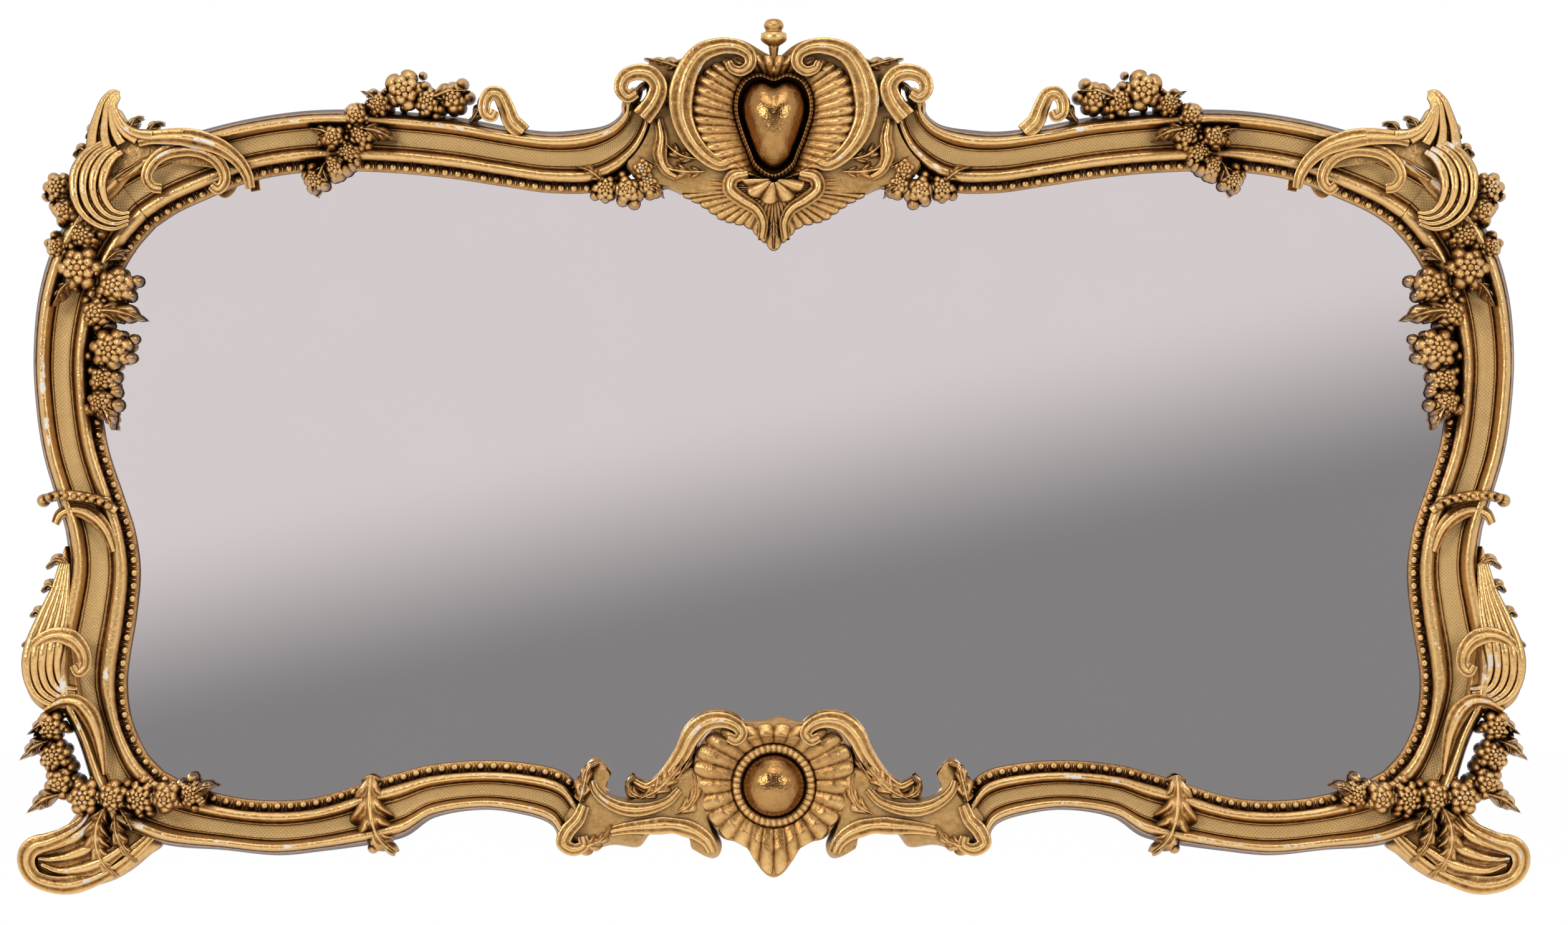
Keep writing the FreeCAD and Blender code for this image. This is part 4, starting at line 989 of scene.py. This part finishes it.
class SideCarvings:
    """Leaves and scrolls that come in pairs."""

    def shoulder_scroll(self) -> Carving:
        """Volute where the top rail ends beside the crest."""
        carving = Carving()
        add_scroll(carving,
                   ((174, 885), (158, 903), (152, 920), (162, 933), (180, 936), (196, 930), (201, 917),
                    (192, 908), (181, 913)), (11, 11, 10, 10, 9, 9, 8, 7, 6),
                   (58, 62, 64, 66, 66, 66, 66, 67, 68))
        add_blade(carving, ((196, 880), (190, 900), (178, 918), (168, 925)), (6, 10, 9, 3), (60, 66, 68, 64),
                  lobes=3)
        return carving

    def rail_curl(self) -> Carving:
        """Volute that stands up from the top rail."""
        carving = Carving()
        add_scroll(carving,
                   ((330, 868), (345, 880), (353, 897), (361, 910), (372, 912), (380, 903), (380, 890),
                    (371, 885), (366, 892)), (9, 9.5, 9, 9, 8.5, 8, 7, 6, 5),
                   (54, 58, 62, 64, 66, 66, 67, 68, 69))
        add_blade(carving, ((400, 880), (392, 890), (384, 905), (372, 918)), (5, 8, 7, 2), (54, 60, 62, 58),
                  lobes=3)
        return carving

    def corner_leaf(self) -> Carving:
        """Acanthus of the top corner: horn, broad C of leaf, and two concentric C-scrolls."""
        carving = Carving()
        add_pillow(carving,
                   closed_outline(((905, 775), (922, 800), (923, 828), (909, 852), (897, 878), (880, 890),
                                   (866, 896), (854, 882), (835, 872), (800, 868), (762, 861), (722, 846),
                                   (704, 826), (750, 830), (800, 834), (850, 815), (876, 790)), count=160),
                   CARVING_SEAT, wall=0.046, front=0.056)
        add_reeds(carving, ((899, 846), (895, 870), (887, 891), (880, 904), (870, 913), (860, 912)),
                  ((818, 864), (838, 866), (853, 873), (862, 885), (866, 897), (861, 907)), count=5,
                  radii=(7, 6.2, 4.6, 3.6, 2.9, 2), depth=(62, 74, 78, 78, 76, 72))
        add_reeds(carving,
                  ((880, 858), (903, 845), (917, 826), (920, 806), (914, 783), (897, 766), (872, 758),
                   (850, 764)),
                  ((858, 846), (868, 840), (878, 826), (882, 808), (879, 792), (870, 780), (858, 776),
                   (848, 777)), count=4, radii=(4, 5, 5.8, 5.8, 5.6, 5, 3.6, 2),
                  depth=(64, 74, 79, 79, 77, 74, 70, 64))
        for root, tip in (((890, 872), (908, 862)), ((905, 846), (925, 842)),
                          ((850, 870), (834, 886)), ((826, 866), (806, 879))):
            add_tip(carving, root, tip, crown=62)
        add_blade(carving, ((888, 804), (870, 815), (850, 826), (832, 836)), (4, 8, 8, 3), (64, 72, 72, 64),
                  lobes=1, notch=0.05)
        add_scroll(carving,
                   ((838, 858), (818, 862), (774, 862), (734, 853), (708, 838), (694, 820), (690, 805)),
                   (6, 9, 10, 10, 10, 9, 5), (60, 66, 66, 64, 60, 57, 54))
        add_scroll(carving,
                   ((806, 804), (818, 806), (826, 816), (822, 829), (809, 841), (789, 848), (763, 849),
                    (740, 841), (726, 827), (723, 813), (732, 803), (741, 808)),
                   (5, 7, 8, 8, 8, 8, 8, 8, 8, 8, 7, 5), (62, 62, 61, 61, 61, 61, 61, 60, 59, 58, 60, 62))
        return carving

    def stile_collar(self) -> Carving:
        """Beaded band across the stile."""
        carving = Carving()
        band = ((966, 451), (940, 456), (910, 454), (885, 448), (868, 438))
        add_scroll(carving, band, (5, 6, 6, 6, 5), (52, 62, 58, 58, 48), reeds=1)
        path = smooth_path(spots(band), 10)[1:-1]
        for mark in path:
            add_dome(carving, round_outline(mark, radius=0.0058, count=12), back=0.056, front=0.0735, rings=6)
        add_dome(carving, round_outline(spots([(964, 450)])[0], radius=0.008, count=14), back=0.045,
                 front=0.066, rings=6)
        add_scroll(carving,
                   ((947, 424), (940, 435), (924, 440), (907, 437), (893, 429), (880, 414), (871, 392)),
                   (4, 7, 8, 8, 8, 7, 4), (58, 58, 54, 50, 50, 50, 48), reeds=2)
        return carving

    def stile_leaf(self) -> Carving:
        """Acanthus down the outside of the lower stile: long reeds that widen and turn in below."""
        carving = Carving()
        add_pillow(carving,
                   closed_outline(((936, 398), (946, 368), (960, 338), (977, 306), (988, 276), (990, 248),
                                   (981, 224), (960, 209), (936, 203), (914, 212), (917, 245), (924, 290),
                                   (927, 340), (928, 380)), count=140), CARVING_SEAT, wall=0.042, front=0.054)
        add_reeds(carving,
                  ((938, 386), (950, 350), (967, 317), (981, 284), (984, 255), (975, 232), (955, 219),
                   (930, 216)),
                  ((930, 378), (931, 346), (934, 316), (940, 288), (944, 264), (941, 247), (932, 238),
                   (918, 236)), count=5, radii=(2, 4, 5, 5.6, 5.6, 5, 4, 3),
                  depth=(50, 58, 62, 64, 64, 63, 60, 55))
        for root, tip in (((934, 380), (961, 373)), ((948, 350), (967, 346)),
                          ((964, 318), (982, 318)), ((978, 280), (993, 284))):
            add_tip(carving, root, tip, crown=60)
        add_scroll(carving,
                   ((982, 276), (966, 291), (944, 298), (922, 293), (909, 279), (907, 263), (915, 256),
                    (921, 264)), (5, 8, 9, 9, 8, 7, 6, 5), (62, 66, 66, 65, 64, 64, 65, 66))
        add_scroll(carving,
                   ((962, 212), (940, 222), (920, 222), (904, 210), (893, 188), (887, 162), (884, 138)),
                   (4, 8, 9, 9, 8, 7, 3), (56, 60, 61, 61, 59, 56, 52), reeds=2)
        return carving

    def foot_scroll(self) -> Carving:
        """Volute foot with a leaf along its back."""
        carving = Carving()
        add_pillow(carving,
                   closed_outline(((922, 94), (936, 80), (952, 70), (972, 65), (987, 61), (996, 51),
                                   (997, 36), (989, 20), (975, 9), (958, 3), (938, 2), (915, 7), (890, 12),
                                   (868, 19), (848, 30), (829, 44), (812, 56), (822, 78), (850, 96),
                                   (882, 110), (906, 107)), count=160), back=0.0, wall=0.024, front=0.044)
        add_scroll(carving,
                   ((900, 100), (913, 83), (934, 71), (957, 62.5), (975, 58), (985, 49), (986, 35), (976, 21),
                    (956, 14), (934, 12.5), (910, 17), (885, 26), (860, 40), (838, 56), (820, 71)),
                   (6, 9, 10, 9, 8, 8, 9, 10, 10, 10, 10, 9, 8, 7, 5),
                   (46, 50, 50, 48, 47, 46, 44, 42, 40, 40, 41, 42, 44, 46, 46))
        for path in (((893, 88), (915, 71), (940, 60), (962, 53), (975, 47)),
                     ((878, 72), (902, 56), (930, 46), (955, 42), (972, 43)),
                     ((862, 54), (888, 40), (918, 31), (946, 29), (968, 36))):
            add_scroll(carving, path, (6, 10, 10, 8, 4), (50, 46, 43, 42, 44), reeds=2)
        add_blade(carving, ((880, 104), (890, 84), (893, 60), (885, 38), (868, 22)), (8, 15, 17, 13, 3),
                  (66, 74, 74, 64, 50), lobes=6, base=0.040)
        add_blade(carving, ((868, 94), (866, 72), (856, 52), (842, 38)), (6, 11, 10, 2), (64, 70, 64, 50),
                  lobes=4, base=0.040)
        return carving

    def rail_clasp(self) -> Carving:
        """Leaf that clasps the joint of bottom rail and arch."""
        carving = Carving()
        add_blade(carving, ((532, 138), (533, 115), (530, 90), (520, 66), (500, 49)), (12, 23, 27, 22, 4),
                  (54, 66, 72, 70, 56), lobes=5)
        add_dome(carving, round_outline(spots([(530, 54)])[0], radius=0.007, count=12), back=0.030,
                 front=0.056, rings=6)
        return carving

    def crest_scroll(self) -> Carving:
        """C-scroll of the crest that curls in beside the finial, with its shoulder leaves."""
        carving = Carving()
        add_scroll(carving,
                   ((52, 837), (70, 832), (92, 843), (110, 862), (121, 886), (122, 912), (113, 938),
                    (97, 957), (74, 965), (50, 965), (33, 957), (31, 945), (42, 937), (55, 940), (60, 948)),
                   (6, 9, 11, 12, 13, 13, 13, 12, 11, 10, 9, 8, 8, 6, 4),
                   (54, 56, 57, 58, 58, 58, 58, 58, 60, 62, 64, 64, 65, 66, 67))
        add_blade(carving, ((110, 930), (126, 942), (146, 948), (171, 953)), (8, 12, 9, 1), (56, 60, 60, 54),
                  lobes=4)
        add_blade(carving, ((112, 880), (128, 892), (138, 912), (140, 935)), (8, 12, 11, 2), (56, 60, 60, 54),
                  lobes=4)
        add_blade(carving, ((100, 838), (124, 843), (143, 857), (152, 880)), (8, 13, 12, 2), (56, 62, 60, 52),
                  lobes=4)
        add_blade(carving, ((90, 824), (120, 824), (150, 830), (178, 842)), (7, 13, 12, 2), (56, 62, 60, 52),
                  lobes=5)
        add_scroll(carving, ((128, 818), (142, 826), (150, 842), (148, 862), (152, 884)), (4, 6, 7, 6, 4),
                   (52, 55, 56, 55, 52), reeds=2)
        return carving

    def apron_neck(self) -> Carving:
        """Ridges and leaves that link the cartouche to the arch."""
        carving = Carving()
        add_scroll(carving,
                   ((240, 132), (236, 122), (226, 112), (208, 103), (186, 99), (162, 101), (139, 109),
                    (124, 122)), (4, 6, 7, 7, 7, 7, 7, 4), (54, 56, 57, 57, 57, 57, 56, 54))
        add_scroll(carving,
                   ((216, 74), (192, 78), (165, 80), (134, 81), (106, 75), (89, 65), (81, 54), (80, 50)),
                   (5, 8, 9, 9, 9, 8, 9, 6), (52, 54, 55, 55, 54, 53, 52, 52))
        add_scroll(carving, ((250, 104), (258, 88), (272, 74), (277, 61), (264, 54), (250, 59), (252, 69)),
                   (6, 8, 8, 8, 8, 7, 5), (56, 58, 58, 58, 59, 60, 61))
        add_blade(carving, ((268, 55), (246, 58), (225, 67), (214, 82)), (8, 12, 11, 2), (60, 66, 66, 58),
                  lobes=4, base=0.044)
        add_blade(carving, ((176, 112), (156, 120), (136, 136), (116, 157)), (5, 12, 13, 3), (60, 66, 66, 58),
                  lobes=5, base=0.044)
        add_blade(carving, ((172, 112), (186, 118), (192, 128), (186, 137)), (6, 8, 6, 2), (58, 62, 62, 56),
                  lobes=2, base=0.040)
        add_blade(carving, ((256, 108), (250, 128), (243, 147), (231, 152)), (9, 12, 8, 2), (58, 66, 64, 56),
                  lobes=3, base=0.040)
        add_blade(carving, ((130, 94), (112, 104), (103, 120), (106, 140)), (7, 11, 10, 2), (58, 64, 62, 54),
                  lobes=3, base=0.044)
        return carving

    def apron_scroll(self) -> Carving:
        """Volute over the cartouche, with a leaf on its outer side."""
        carving = Carving()
        add_scroll(carving,
                   ((186, 130), (168, 123), (150, 131), (134, 146), (121, 163), (109, 183), (92, 197),
                    (70, 201), (51, 196), (42, 186), (49, 178), (60, 182)),
                   (4, 8, 10, 10, 10, 10, 10, 10, 9, 8, 7, 5),
                   (46, 50, 52, 54, 54, 54, 56, 58, 60, 60, 61, 62))
        add_blade(carving, ((150, 118), (130, 132), (114, 152), (104, 172)), (8, 13, 12, 2), (52, 58, 58, 52),
                  lobes=4)
        return carving

    def build(self) -> Pieces:
        """Carve every pair.

        Returns:
            The pieces by node name.
        """
        made = {}
        for carve in (self.shoulder_scroll, self.rail_curl, self.corner_leaf, self.stile_collar,
                      self.stile_leaf, self.foot_scroll, self.rail_clasp, self.crest_scroll,
                      self.apron_neck, self.apron_scroll):
            made.update(carve().pair(carve.__name__))
        return made


def add_fan(carving: Carving, inner: np.ndarray, outer: np.ndarray, depths: Sequence[float], flutes: int,
            cut: float, back: float) -> None:
    """Fluted shell between two outlines: rows draw from one to the other, flutes deepen outwards.

    Args:
        carving: Mesh that gets the shell.
        inner: Closed outline where the flutes start.
        outer: Closed outline of the scalloped rim, with as many points.
        depths: Depths from the inner to the outer outline in millimetres.
        flutes: Number of flutes.
        cut: Depth of the flutes at the rim in millimetres.
        back: Depth of the flat back in millimetres.
    """
    rows = 18
    way = np.linspace(0, 1, rows)[:, None]
    turn = np.linspace(0, 1, len(inner), endpoint=False)[None, :]
    rib = np.abs(np.sin(math.pi * flutes * turn)) ** 0.6
    level = levels(depths, rows)
    scallop = 1 - 0.06 * (1 - rib) * way
    front = inner[None] + (outer - inner)[None] * (way * scallop)[..., None]
    depth = (level - cut * (1 - rib) * (0.35 + 0.65 * way)) * MILLIMETRE
    relief = np.clip(0.10 + 0.75 * rib * (0.55 + 0.45 * way), 0, 1)
    ends = front[[0, -1]] + forward(np.full((2, len(inner)), back * MILLIMETRE))
    grid = np.concatenate([ends[:1], front + forward(depth), ends[1:]])
    edge = np.full((1, len(inner)), 0.1)
    carving.add_grid(grid, np.concatenate([edge, relief, edge]), wrap=(True, True))


def add_turning(carving: Carving, shares: Shares, radius: float, depth: float, flutes: int = 0) -> None:
    """Turned form on an upright axis: rings of a profile round the axis, waved where it is fluted.

    Args:
        carving: Mesh that gets the turning.
        shares: Radius as a share of the full one, and height as a share.
        radius: The full radius in metres.
        depth: Depth of the axis in metres.
        flutes: Number of flutes round it.
    """
    profile = smooth_path(np.asarray(shares), 60)
    turn = np.linspace(0, 2 * math.pi, 48, endpoint=False)[None, :]
    wave = 0.08 * (0.5 + 0.5 * np.cos(flutes * turn)) * (flutes > 0)
    size = np.maximum(profile[:, :1], 0) * radius * (1 - wave)
    grid = np.empty(size.shape[:1] + (48, 3))
    grid[..., 0] = size * np.cos(turn)
    grid[..., 1] = -depth - size * np.sin(turn)
    grid[..., 2] = (profile[:, 1:] - ORIGIN_SHARE) * HEIGHT
    swell = profile[:, :1] / max(profile[:, 0].max(), 1e-6)
    carving.add_grid(grid, np.clip(0.15 + 0.8 * swell, 0, 1) * np.ones_like(turn), wrap=(False, True),
                     caps=True)


@dataclass
class Crest:
    """Cresting: fluted shell, polished boss, finial and the lambrequin under it."""

    boss: Shares = ((0, 926), (18, 931), (36, 925), (46, 908), (47, 890), (40, 868), (31, 848), (22, 831),
                    (0, 820))
    shell: Shares = ((0, 956), (30, 956), (62, 952), (90, 941), (108, 922), (115, 900), (113, 876),
                     (103, 854), (86, 836), (60, 825), (30, 818), (0, 815))
    # Turned profiles: shares of the radius and of the height
    knob: Shares = ((0.55, 0.967), (1.30, 0.974), (1.30, 0.980), (0.80, 0.984), (1.00, 0.990), (0.70, 0.996),
                    (0.00, 0.998))
    drop: Shares = ((0.00, 0.931), (0.55, 0.937), (0.75, 0.944), (0.40, 0.953), (0.55, 0.967))
    skirt: Shares = ((0, 826), (60, 826), (115, 820), (131, 808), (120, 797), (100, 788), (85, 779),
                     (70, 770), (54, 766), (36, 762), (22, 752), (13, 744), (0, 735))
    skirt_heart: Tuple[float, float] = (0, 806)
    shell_radius: float = 0.038
    finial_radius: float = 0.012
    board_depth: float = 0.050
    boss_depth: float = 0.098
    points: int = 360

    def build(self) -> Pieces:
        """Carve the pieces on the axis.

        Returns:
            The pieces by node name.
        """
        made = {}
        rim = closed_outline(self.boss, self.points, symmetric=True)
        heart = rim.mean(axis=0)
        polished, gadroon = heart + 0.91 * (rim - heart), heart + 1.10 * (rim - heart)
        fan = Carving()
        shell = closed_outline(self.shell, self.points, symmetric=True)
        add_fan(fan, gadroon, shell, (53, 60, 62, 56), flutes=44, cut=4.5, back=48)
        add_fan(fan, polished, gadroon, (56, 66, 68, 58), flutes=72, cut=2.5, back=48)
        made["crest_shell"] = fan.piece("carved_crest_shell", Side.MIDDLE)
        boss = Carving()
        add_dome(boss, polished, self.board_depth, self.boss_depth, rings=28, power=2.2, glow=0.9)
        made["crest_boss"] = boss.piece("carved_crest_boss", Side.MIDDLE)
        finial = Carving()
        add_turning(finial, self.knob, self.finial_radius, self.board_depth)
        add_turning(finial, self.drop, self.finial_radius, self.board_depth, flutes=8)
        made["crest_finial"] = finial.piece("carved_crest_finial", Side.MIDDLE)
        made["crest_lambrequin"] = self.lambrequin().piece("carved_crest_lambrequin", Side.MIDDLE)
        return made

    def lambrequin(self) -> Carving:
        """Leafy drop with a lyre strap and a small shell under the boss.

        Returns:
            The carving.
        """
        carving = Carving()
        edge = closed_outline(self.skirt, self.points, symmetric=True)
        heart = spots([self.skirt_heart])[0]
        add_fan(carving, heart + 0.2 * (edge - heart), edge, (56, 56, 53, 47), flutes=44, cut=3.0,
                back=CARVING_SEAT / MILLIMETRE)
        strap = ((34, 822), (54, 817), (58, 804), (43, 792), (23, 781),
                 (14, 766), (16, 748))
        for turn in (tuple, mirrored_shares):
            add_scroll(carving, turn(strap), (6, 7, 7, 7, 7, 6, 4), (56, 59, 60, 59, 58, 56, 52), reeds=2)
        spine = ((0, 772), (0, 760), (0, 748), (0, 736))
        add_blade(carving, spine, (5, 9, 8, 2), (54, 58, 56, 46), lobes=3)
        middle = spots([(0, 815)])[0]
        turn = np.linspace(0, math.pi, 60)
        ring = np.stack([np.cos(turn), np.zeros(60), -np.sin(turn)], axis=1)
        rows = np.linspace(0.15, 1, 12)[:, None]
        rib = np.abs(np.sin(4.5 * turn))[None, :]
        size = rows * self.shell_radius * (0.93 + 0.07 * rib)
        flat = middle + ring[None] * size[..., None] * np.array([1.0, 1.0, 0.78])
        face = flat + forward(0.066 - 0.008 * rows ** 2 - 0.004 * (1 - rib) * rows)
        back = (flat + forward(np.full(size.shape, 0.050)))[:, ::-1]
        relief = np.clip(0.1 + 0.8 * rib * np.ones_like(rows), 0, 1)
        carving.add_grid(np.concatenate([face, back], axis=1), np.concatenate([relief, 0 * relief], axis=1),
                         wrap=(False, True), caps=True)
        return carving


@dataclass
class Cartouche:
    """Shell cartouche at the middle of the bottom: fluted ground, turned ring and polished ball."""

    ground: Shares = ((0, 196), (30, 194), (62, 192), (88, 182), (103, 160), (105, 132), (95, 103), (79, 80),
                      (62, 65), (46, 60), (34, 52), (21, 36), (0, 23))
    middle: Tuple[float, float] = (0, 126)
    ball_radius: float = 0.037
    ring_radius: float = 0.050
    board_depth: float = 0.048
    ring_rise: float = 0.006
    points: int = 360

    def build(self) -> Pieces:
        """Carve the fan, the ring with its gadroons and the half ball.

        Returns:
            The pieces by node name; the fan lies on the board, which stays.
        """
        made = {}
        centre = spots([self.middle])[0]
        turn = np.linspace(math.pi / 2, 2.5 * math.pi, self.points, endpoint=False)
        spoke = np.stack([np.cos(turn), np.zeros(self.points), np.sin(turn)], axis=1)
        fan = Carving()
        ground = closed_outline(self.ground, self.points, symmetric=True)
        add_fan(fan, centre + spoke * self.ring_radius, ground, (50, 54, 56, 50), flutes=26, cut=4.0, back=46)
        made["apron_fan"] = fan.piece("carved_apron_fan", Side.MIDDLE)
        ring = Carving()
        way = np.linspace(0, math.pi, 14)[:, None]
        reach = self.ball_radius + (self.ring_radius - self.ball_radius) * (0.5 - 0.5 * np.cos(way))
        lobe = 0.5 + 0.5 * np.cos(40 * turn)[None, :]
        depth = self.board_depth + self.ring_rise * np.sin(way) * (0.72 + 0.28 * lobe)
        grid = centre + spoke[None] * reach[..., None] + forward(depth)
        ring.add_grid(grid, np.clip(np.sin(way) * (0.35 + 0.6 * lobe), 0, 1), wrap=(True, True))
        made["apron_ring"] = ring.piece("carved_apron_ring", Side.MIDDLE)
        ball = Carving()
        add_dome(ball, round_outline(centre, self.ball_radius, count=96), self.board_depth,
                 self.board_depth + self.ball_radius, rings=28, power=2.0, glow=0.9)
        made["apron_ball"] = ball.piece("carved_apron_ball", Side.MIDDLE)
        return made


@dataclass
class Studio:
    """Camera where the photograph was taken from, soft boxes, pale floor and white surround."""

    camera_place: Triple = (0.0122, -6.0, -0.3936)
    lens: float = 115.0
    sensor: float = 36.0
    lamps: Tuple[Tuple[str, Triple, float, float], ...] = (
        ("left_box", (-2.6, -3.2, 1.1), 1.2, 60.0), ("right_box", (2.6, -3.2, 0.9), 1.2, 38.0),
        ("top_box", (0.0, -1.6, 2.6), 2.0, 28.0))
    lamp_target: Triple = (0.0, 0.0, -0.39)
    floor_shade: Triple = (0.85, 0.85, 0.85)
    floor_height: float = -1.60
    floor_size: float = 30.0
    world_strength: float = 0.40
    floor_glow: float = 0.6
    card_light: Triple = (0.766, 0.702, 0.702)
    card_dark: Triple = (0.260, 0.250, 0.251)
    card_box: Tuple[float, float, float, float] = (2.1, -1.5, 0.6, -7.5)
    surround_box: Tuple[float, float, float, float] = (11.0, -1.6, 9.0, -8.2)
    surround_shade: Triple = (0.10, 0.085, 0.07)
    band_slope: float = 0.21
    band_middle: float = -0.493
    band_half: float = 0.31

    def build(self) -> None:
        """Set up camera, lights, floor, the card that the plate reflects, and the world."""
        camera = bpy.data.objects.new("camera", bpy.data.cameras.new("camera"))
        camera.data.lens = self.lens
        camera.data.sensor_width = self.sensor
        camera.location = self.camera_place
        camera.rotation_euler = (math.pi / 2, 0, 0)
        bpy.context.scene.collection.objects.link(camera)
        bpy.context.scene.camera = camera
        for lamp in self.lamps:
            self.softbox(*lamp)
        self.floor()
        self.card()
        self.surround()
        self.world()
        bpy.context.scene.view_settings.view_transform = "Standard"

    def softbox(self, name: str, place: Triple, size: float, power: float) -> None:
        """Square area lamp that looks at the middle of the mirror.

        Args:
            name: Name of the lamp.
            place: Where it stands.
            size: Side of the square.
            power: Power in watts.
        """
        lamp = bpy.data.objects.new(name, bpy.data.lights.new(name, "AREA"))
        lamp.data.size = size
        lamp.data.energy = power
        lamp.location = place
        aim = np.array(self.lamp_target) - np.array(place)
        spin = math.atan2(aim[0], -aim[1])
        lift = math.atan2(aim[2], math.hypot(aim[0], aim[1]))
        lamp.rotation_euler = (math.pi / 2 + lift, 0, math.pi + spin)
        bpy.context.scene.collection.objects.link(lamp)

    def sheet(self, name: str, corners: Sequence[Triple], nodes: NodeDesk) -> bpy.types.Object:
        """Flat sheet on the stage.

        Args:
            name: Name of the sheet.
            corners: Its four corners.
            nodes: Desk of its material.

        Returns:
            The sheet.
        """
        mesh = bpy.data.meshes.new(name)
        mesh.from_pydata(corners, [], [(0, 1, 2, 3)])
        mesh.materials.append(nodes.owner)
        made = bpy.data.objects.new(name, mesh)
        bpy.context.scene.collection.objects.link(made)
        return made

    def reflected(self, name: str, box: Tuple[float, ...], nodes: NodeDesk) -> None:
        """Upright sheet behind the camera that only shows in reflections.

        Args:
            name: Name of the sheet.
            box: Half width, lower and upper edge, and place along Y.
            nodes: Desk of its material.
        """
        wide, low, high, back = box
        corners = [(-wide, back, low), (wide, back, low), (wide, back, high), (-wide, back, high)]
        made = self.sheet(name, corners, nodes)
        made.visible_camera = False
        made.visible_diffuse = False
        made.visible_shadow = False

    def floor(self) -> None:
        """Pale floor, white where the camera and the mirror look at it, that keeps the shadow."""
        nodes = NodeDesk(bpy.data.materials.new("floor_white"))
        nodes.put("Base Color", self.floor_shade)
        nodes.put("Roughness", 0.9)
        nodes.put("Emission Color", WHITE)
        nodes.put("Emission Strength", nodes.times(nodes.seen(), self.floor_glow))
        half, level = self.floor_size / 2, self.floor_height
        corners = [(-half, -half, level), (half, -half, level), (half, half, level), (-half, half, level)]
        self.sheet("floor", corners, nodes)

    def card(self) -> None:
        """Grey card behind the camera, light at its upper left, which the plate reflects."""
        nodes = NodeDesk(bpy.data.materials.new("card_grey"))
        place = nodes.apart(nodes.place())
        slope = nodes.sum(place["Z"], nodes.times(place["X"], -self.band_slope))
        share = nodes.step(slope, self.band_middle - self.band_half, self.band_middle + self.band_half)
        nodes.glow(nodes.ramp(share, ((0.0, self.card_dark), (1.0, self.card_light))))
        self.reflected("card", self.card_box, nodes)

    def surround(self) -> None:
        """Dim room behind the card, which gives polished gold its dark reflections."""
        nodes = NodeDesk(bpy.data.materials.new("surround_grey"))
        nodes.glow(self.surround_shade)
        self.reflected("surround", self.surround_box, nodes)

    def world(self) -> None:
        """White to the camera and in reflections, softer as light."""
        nodes = NodeDesk(bpy.data.worlds.new("studio"))
        ground = nodes.tree.nodes["Background"].inputs
        nodes.link(WHITE, ground["Color"])
        lift = nodes.times(nodes.seen(), 1.0 - self.world_strength)
        nodes.link(nodes.sum(lift, self.world_strength), ground["Strength"])
        bpy.context.scene.world = nodes.owner


OLD_GOLD = Gilding("old_gold", (0.060, 0.021, 0.006), (0.43, 0.220, 0.067), (0.72, 0.45, 0.180))
GROUND_GOLD = Gilding("ground_gold", (0.060, 0.021, 0.006), (0.52, 0.29, 0.09), (0.74, 0.48, 0.19),
                      metal=0.45, plain=0.55)
# Polished gold for the boss and the ball, with its colour darkened as a painted dark reflection.
BURNISHED_PAINTED_DARK = Gilding("burnished_gold", (0.10, 0.040, 0.012), (0.26, 0.125, 0.040), (0.42, 0.225, 0.078),
                    loss=2.0, roughness=0.12, polish=0.05, metal=1.0)
PLATE = Silvering()
PINE = Timber("pine_board", (0.30, 0.18, 0.09), (0.46, 0.31, 0.17))
BLOCK = Timber("pine_block", (0.34, 0.21, 0.11), (0.50, 0.35, 0.20))
BEECH = Timber("beech_dowel", (0.42, 0.27, 0.16), (0.56, 0.40, 0.26))
SCREW = Steel("screw_steel", (0.32, 0.31, 0.30))
HANGER = Steel("hanger_steel", (0.42, 0.40, 0.37))
POLISHED_NODES = ("crest_boss", "apron_ball")
# Nodes whose solids stay in view, by finish
KEPT_NODES = (
    (GROUND_GOLD, ("crest_board", "apron_board", "apron_neck_left", "apron_neck_right")),
    (PLATE, ("mirror_plate",)),
    (PINE, ("backboard_1", "backboard_2", "backboard_3")),
    (BLOCK, ("plate_blocks",)),
    (BEECH, ("frame_dowels",)),
    (SCREW, ("backboard_screws", "hanger_screws")),
    (HANGER, ("hanger_straps", "hanger_ring_left", "hanger_ring_right")))
LAID_ON = ("apron_fan", "apron_neck_left", "apron_neck_right")


def dress_kept_nodes() -> None:
    """Give each solid that stays in view its finish."""
    for finish, names in KEPT_NODES:
        material = finish.material()
        for name in names:
            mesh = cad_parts[name].data
            mesh.materials.clear()
            mesh.materials.append(material)


def place_carvings(made: Pieces) -> None:
    """Gild the carvings, ride them on the mirror and let them stand for their nodes.

    Args:
        made: Pieces by node name.
    """
    # The boss and the ball get the polished gold with the painted dark reflection.
    gold, burnished_painted_dark = OLD_GOLD.material(), BURNISHED_PAINTED_DARK.material()
    for node, piece in made.items():
        polished = node in POLISHED_NODES
        piece.data.materials.append(burnished_painted_dark if polished else gold)
        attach(piece, "mirror")
        if node not in LAID_ON:
            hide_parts(node)
        LOG.info("%s: %d faces", piece.name, len(piece.data.polygons))


def main() -> None:
    """Build every sub-assembly and the studio."""
    logging.basicConfig(level=logging.INFO)
    dress_kept_nodes()
    for group in (Rails(), Beads(), SideCarvings(), Crest(), Cartouche()) + SPRAYS:
        place_carvings(group.build())
    Studio().build()


if __name__ == "__main__":
    main()
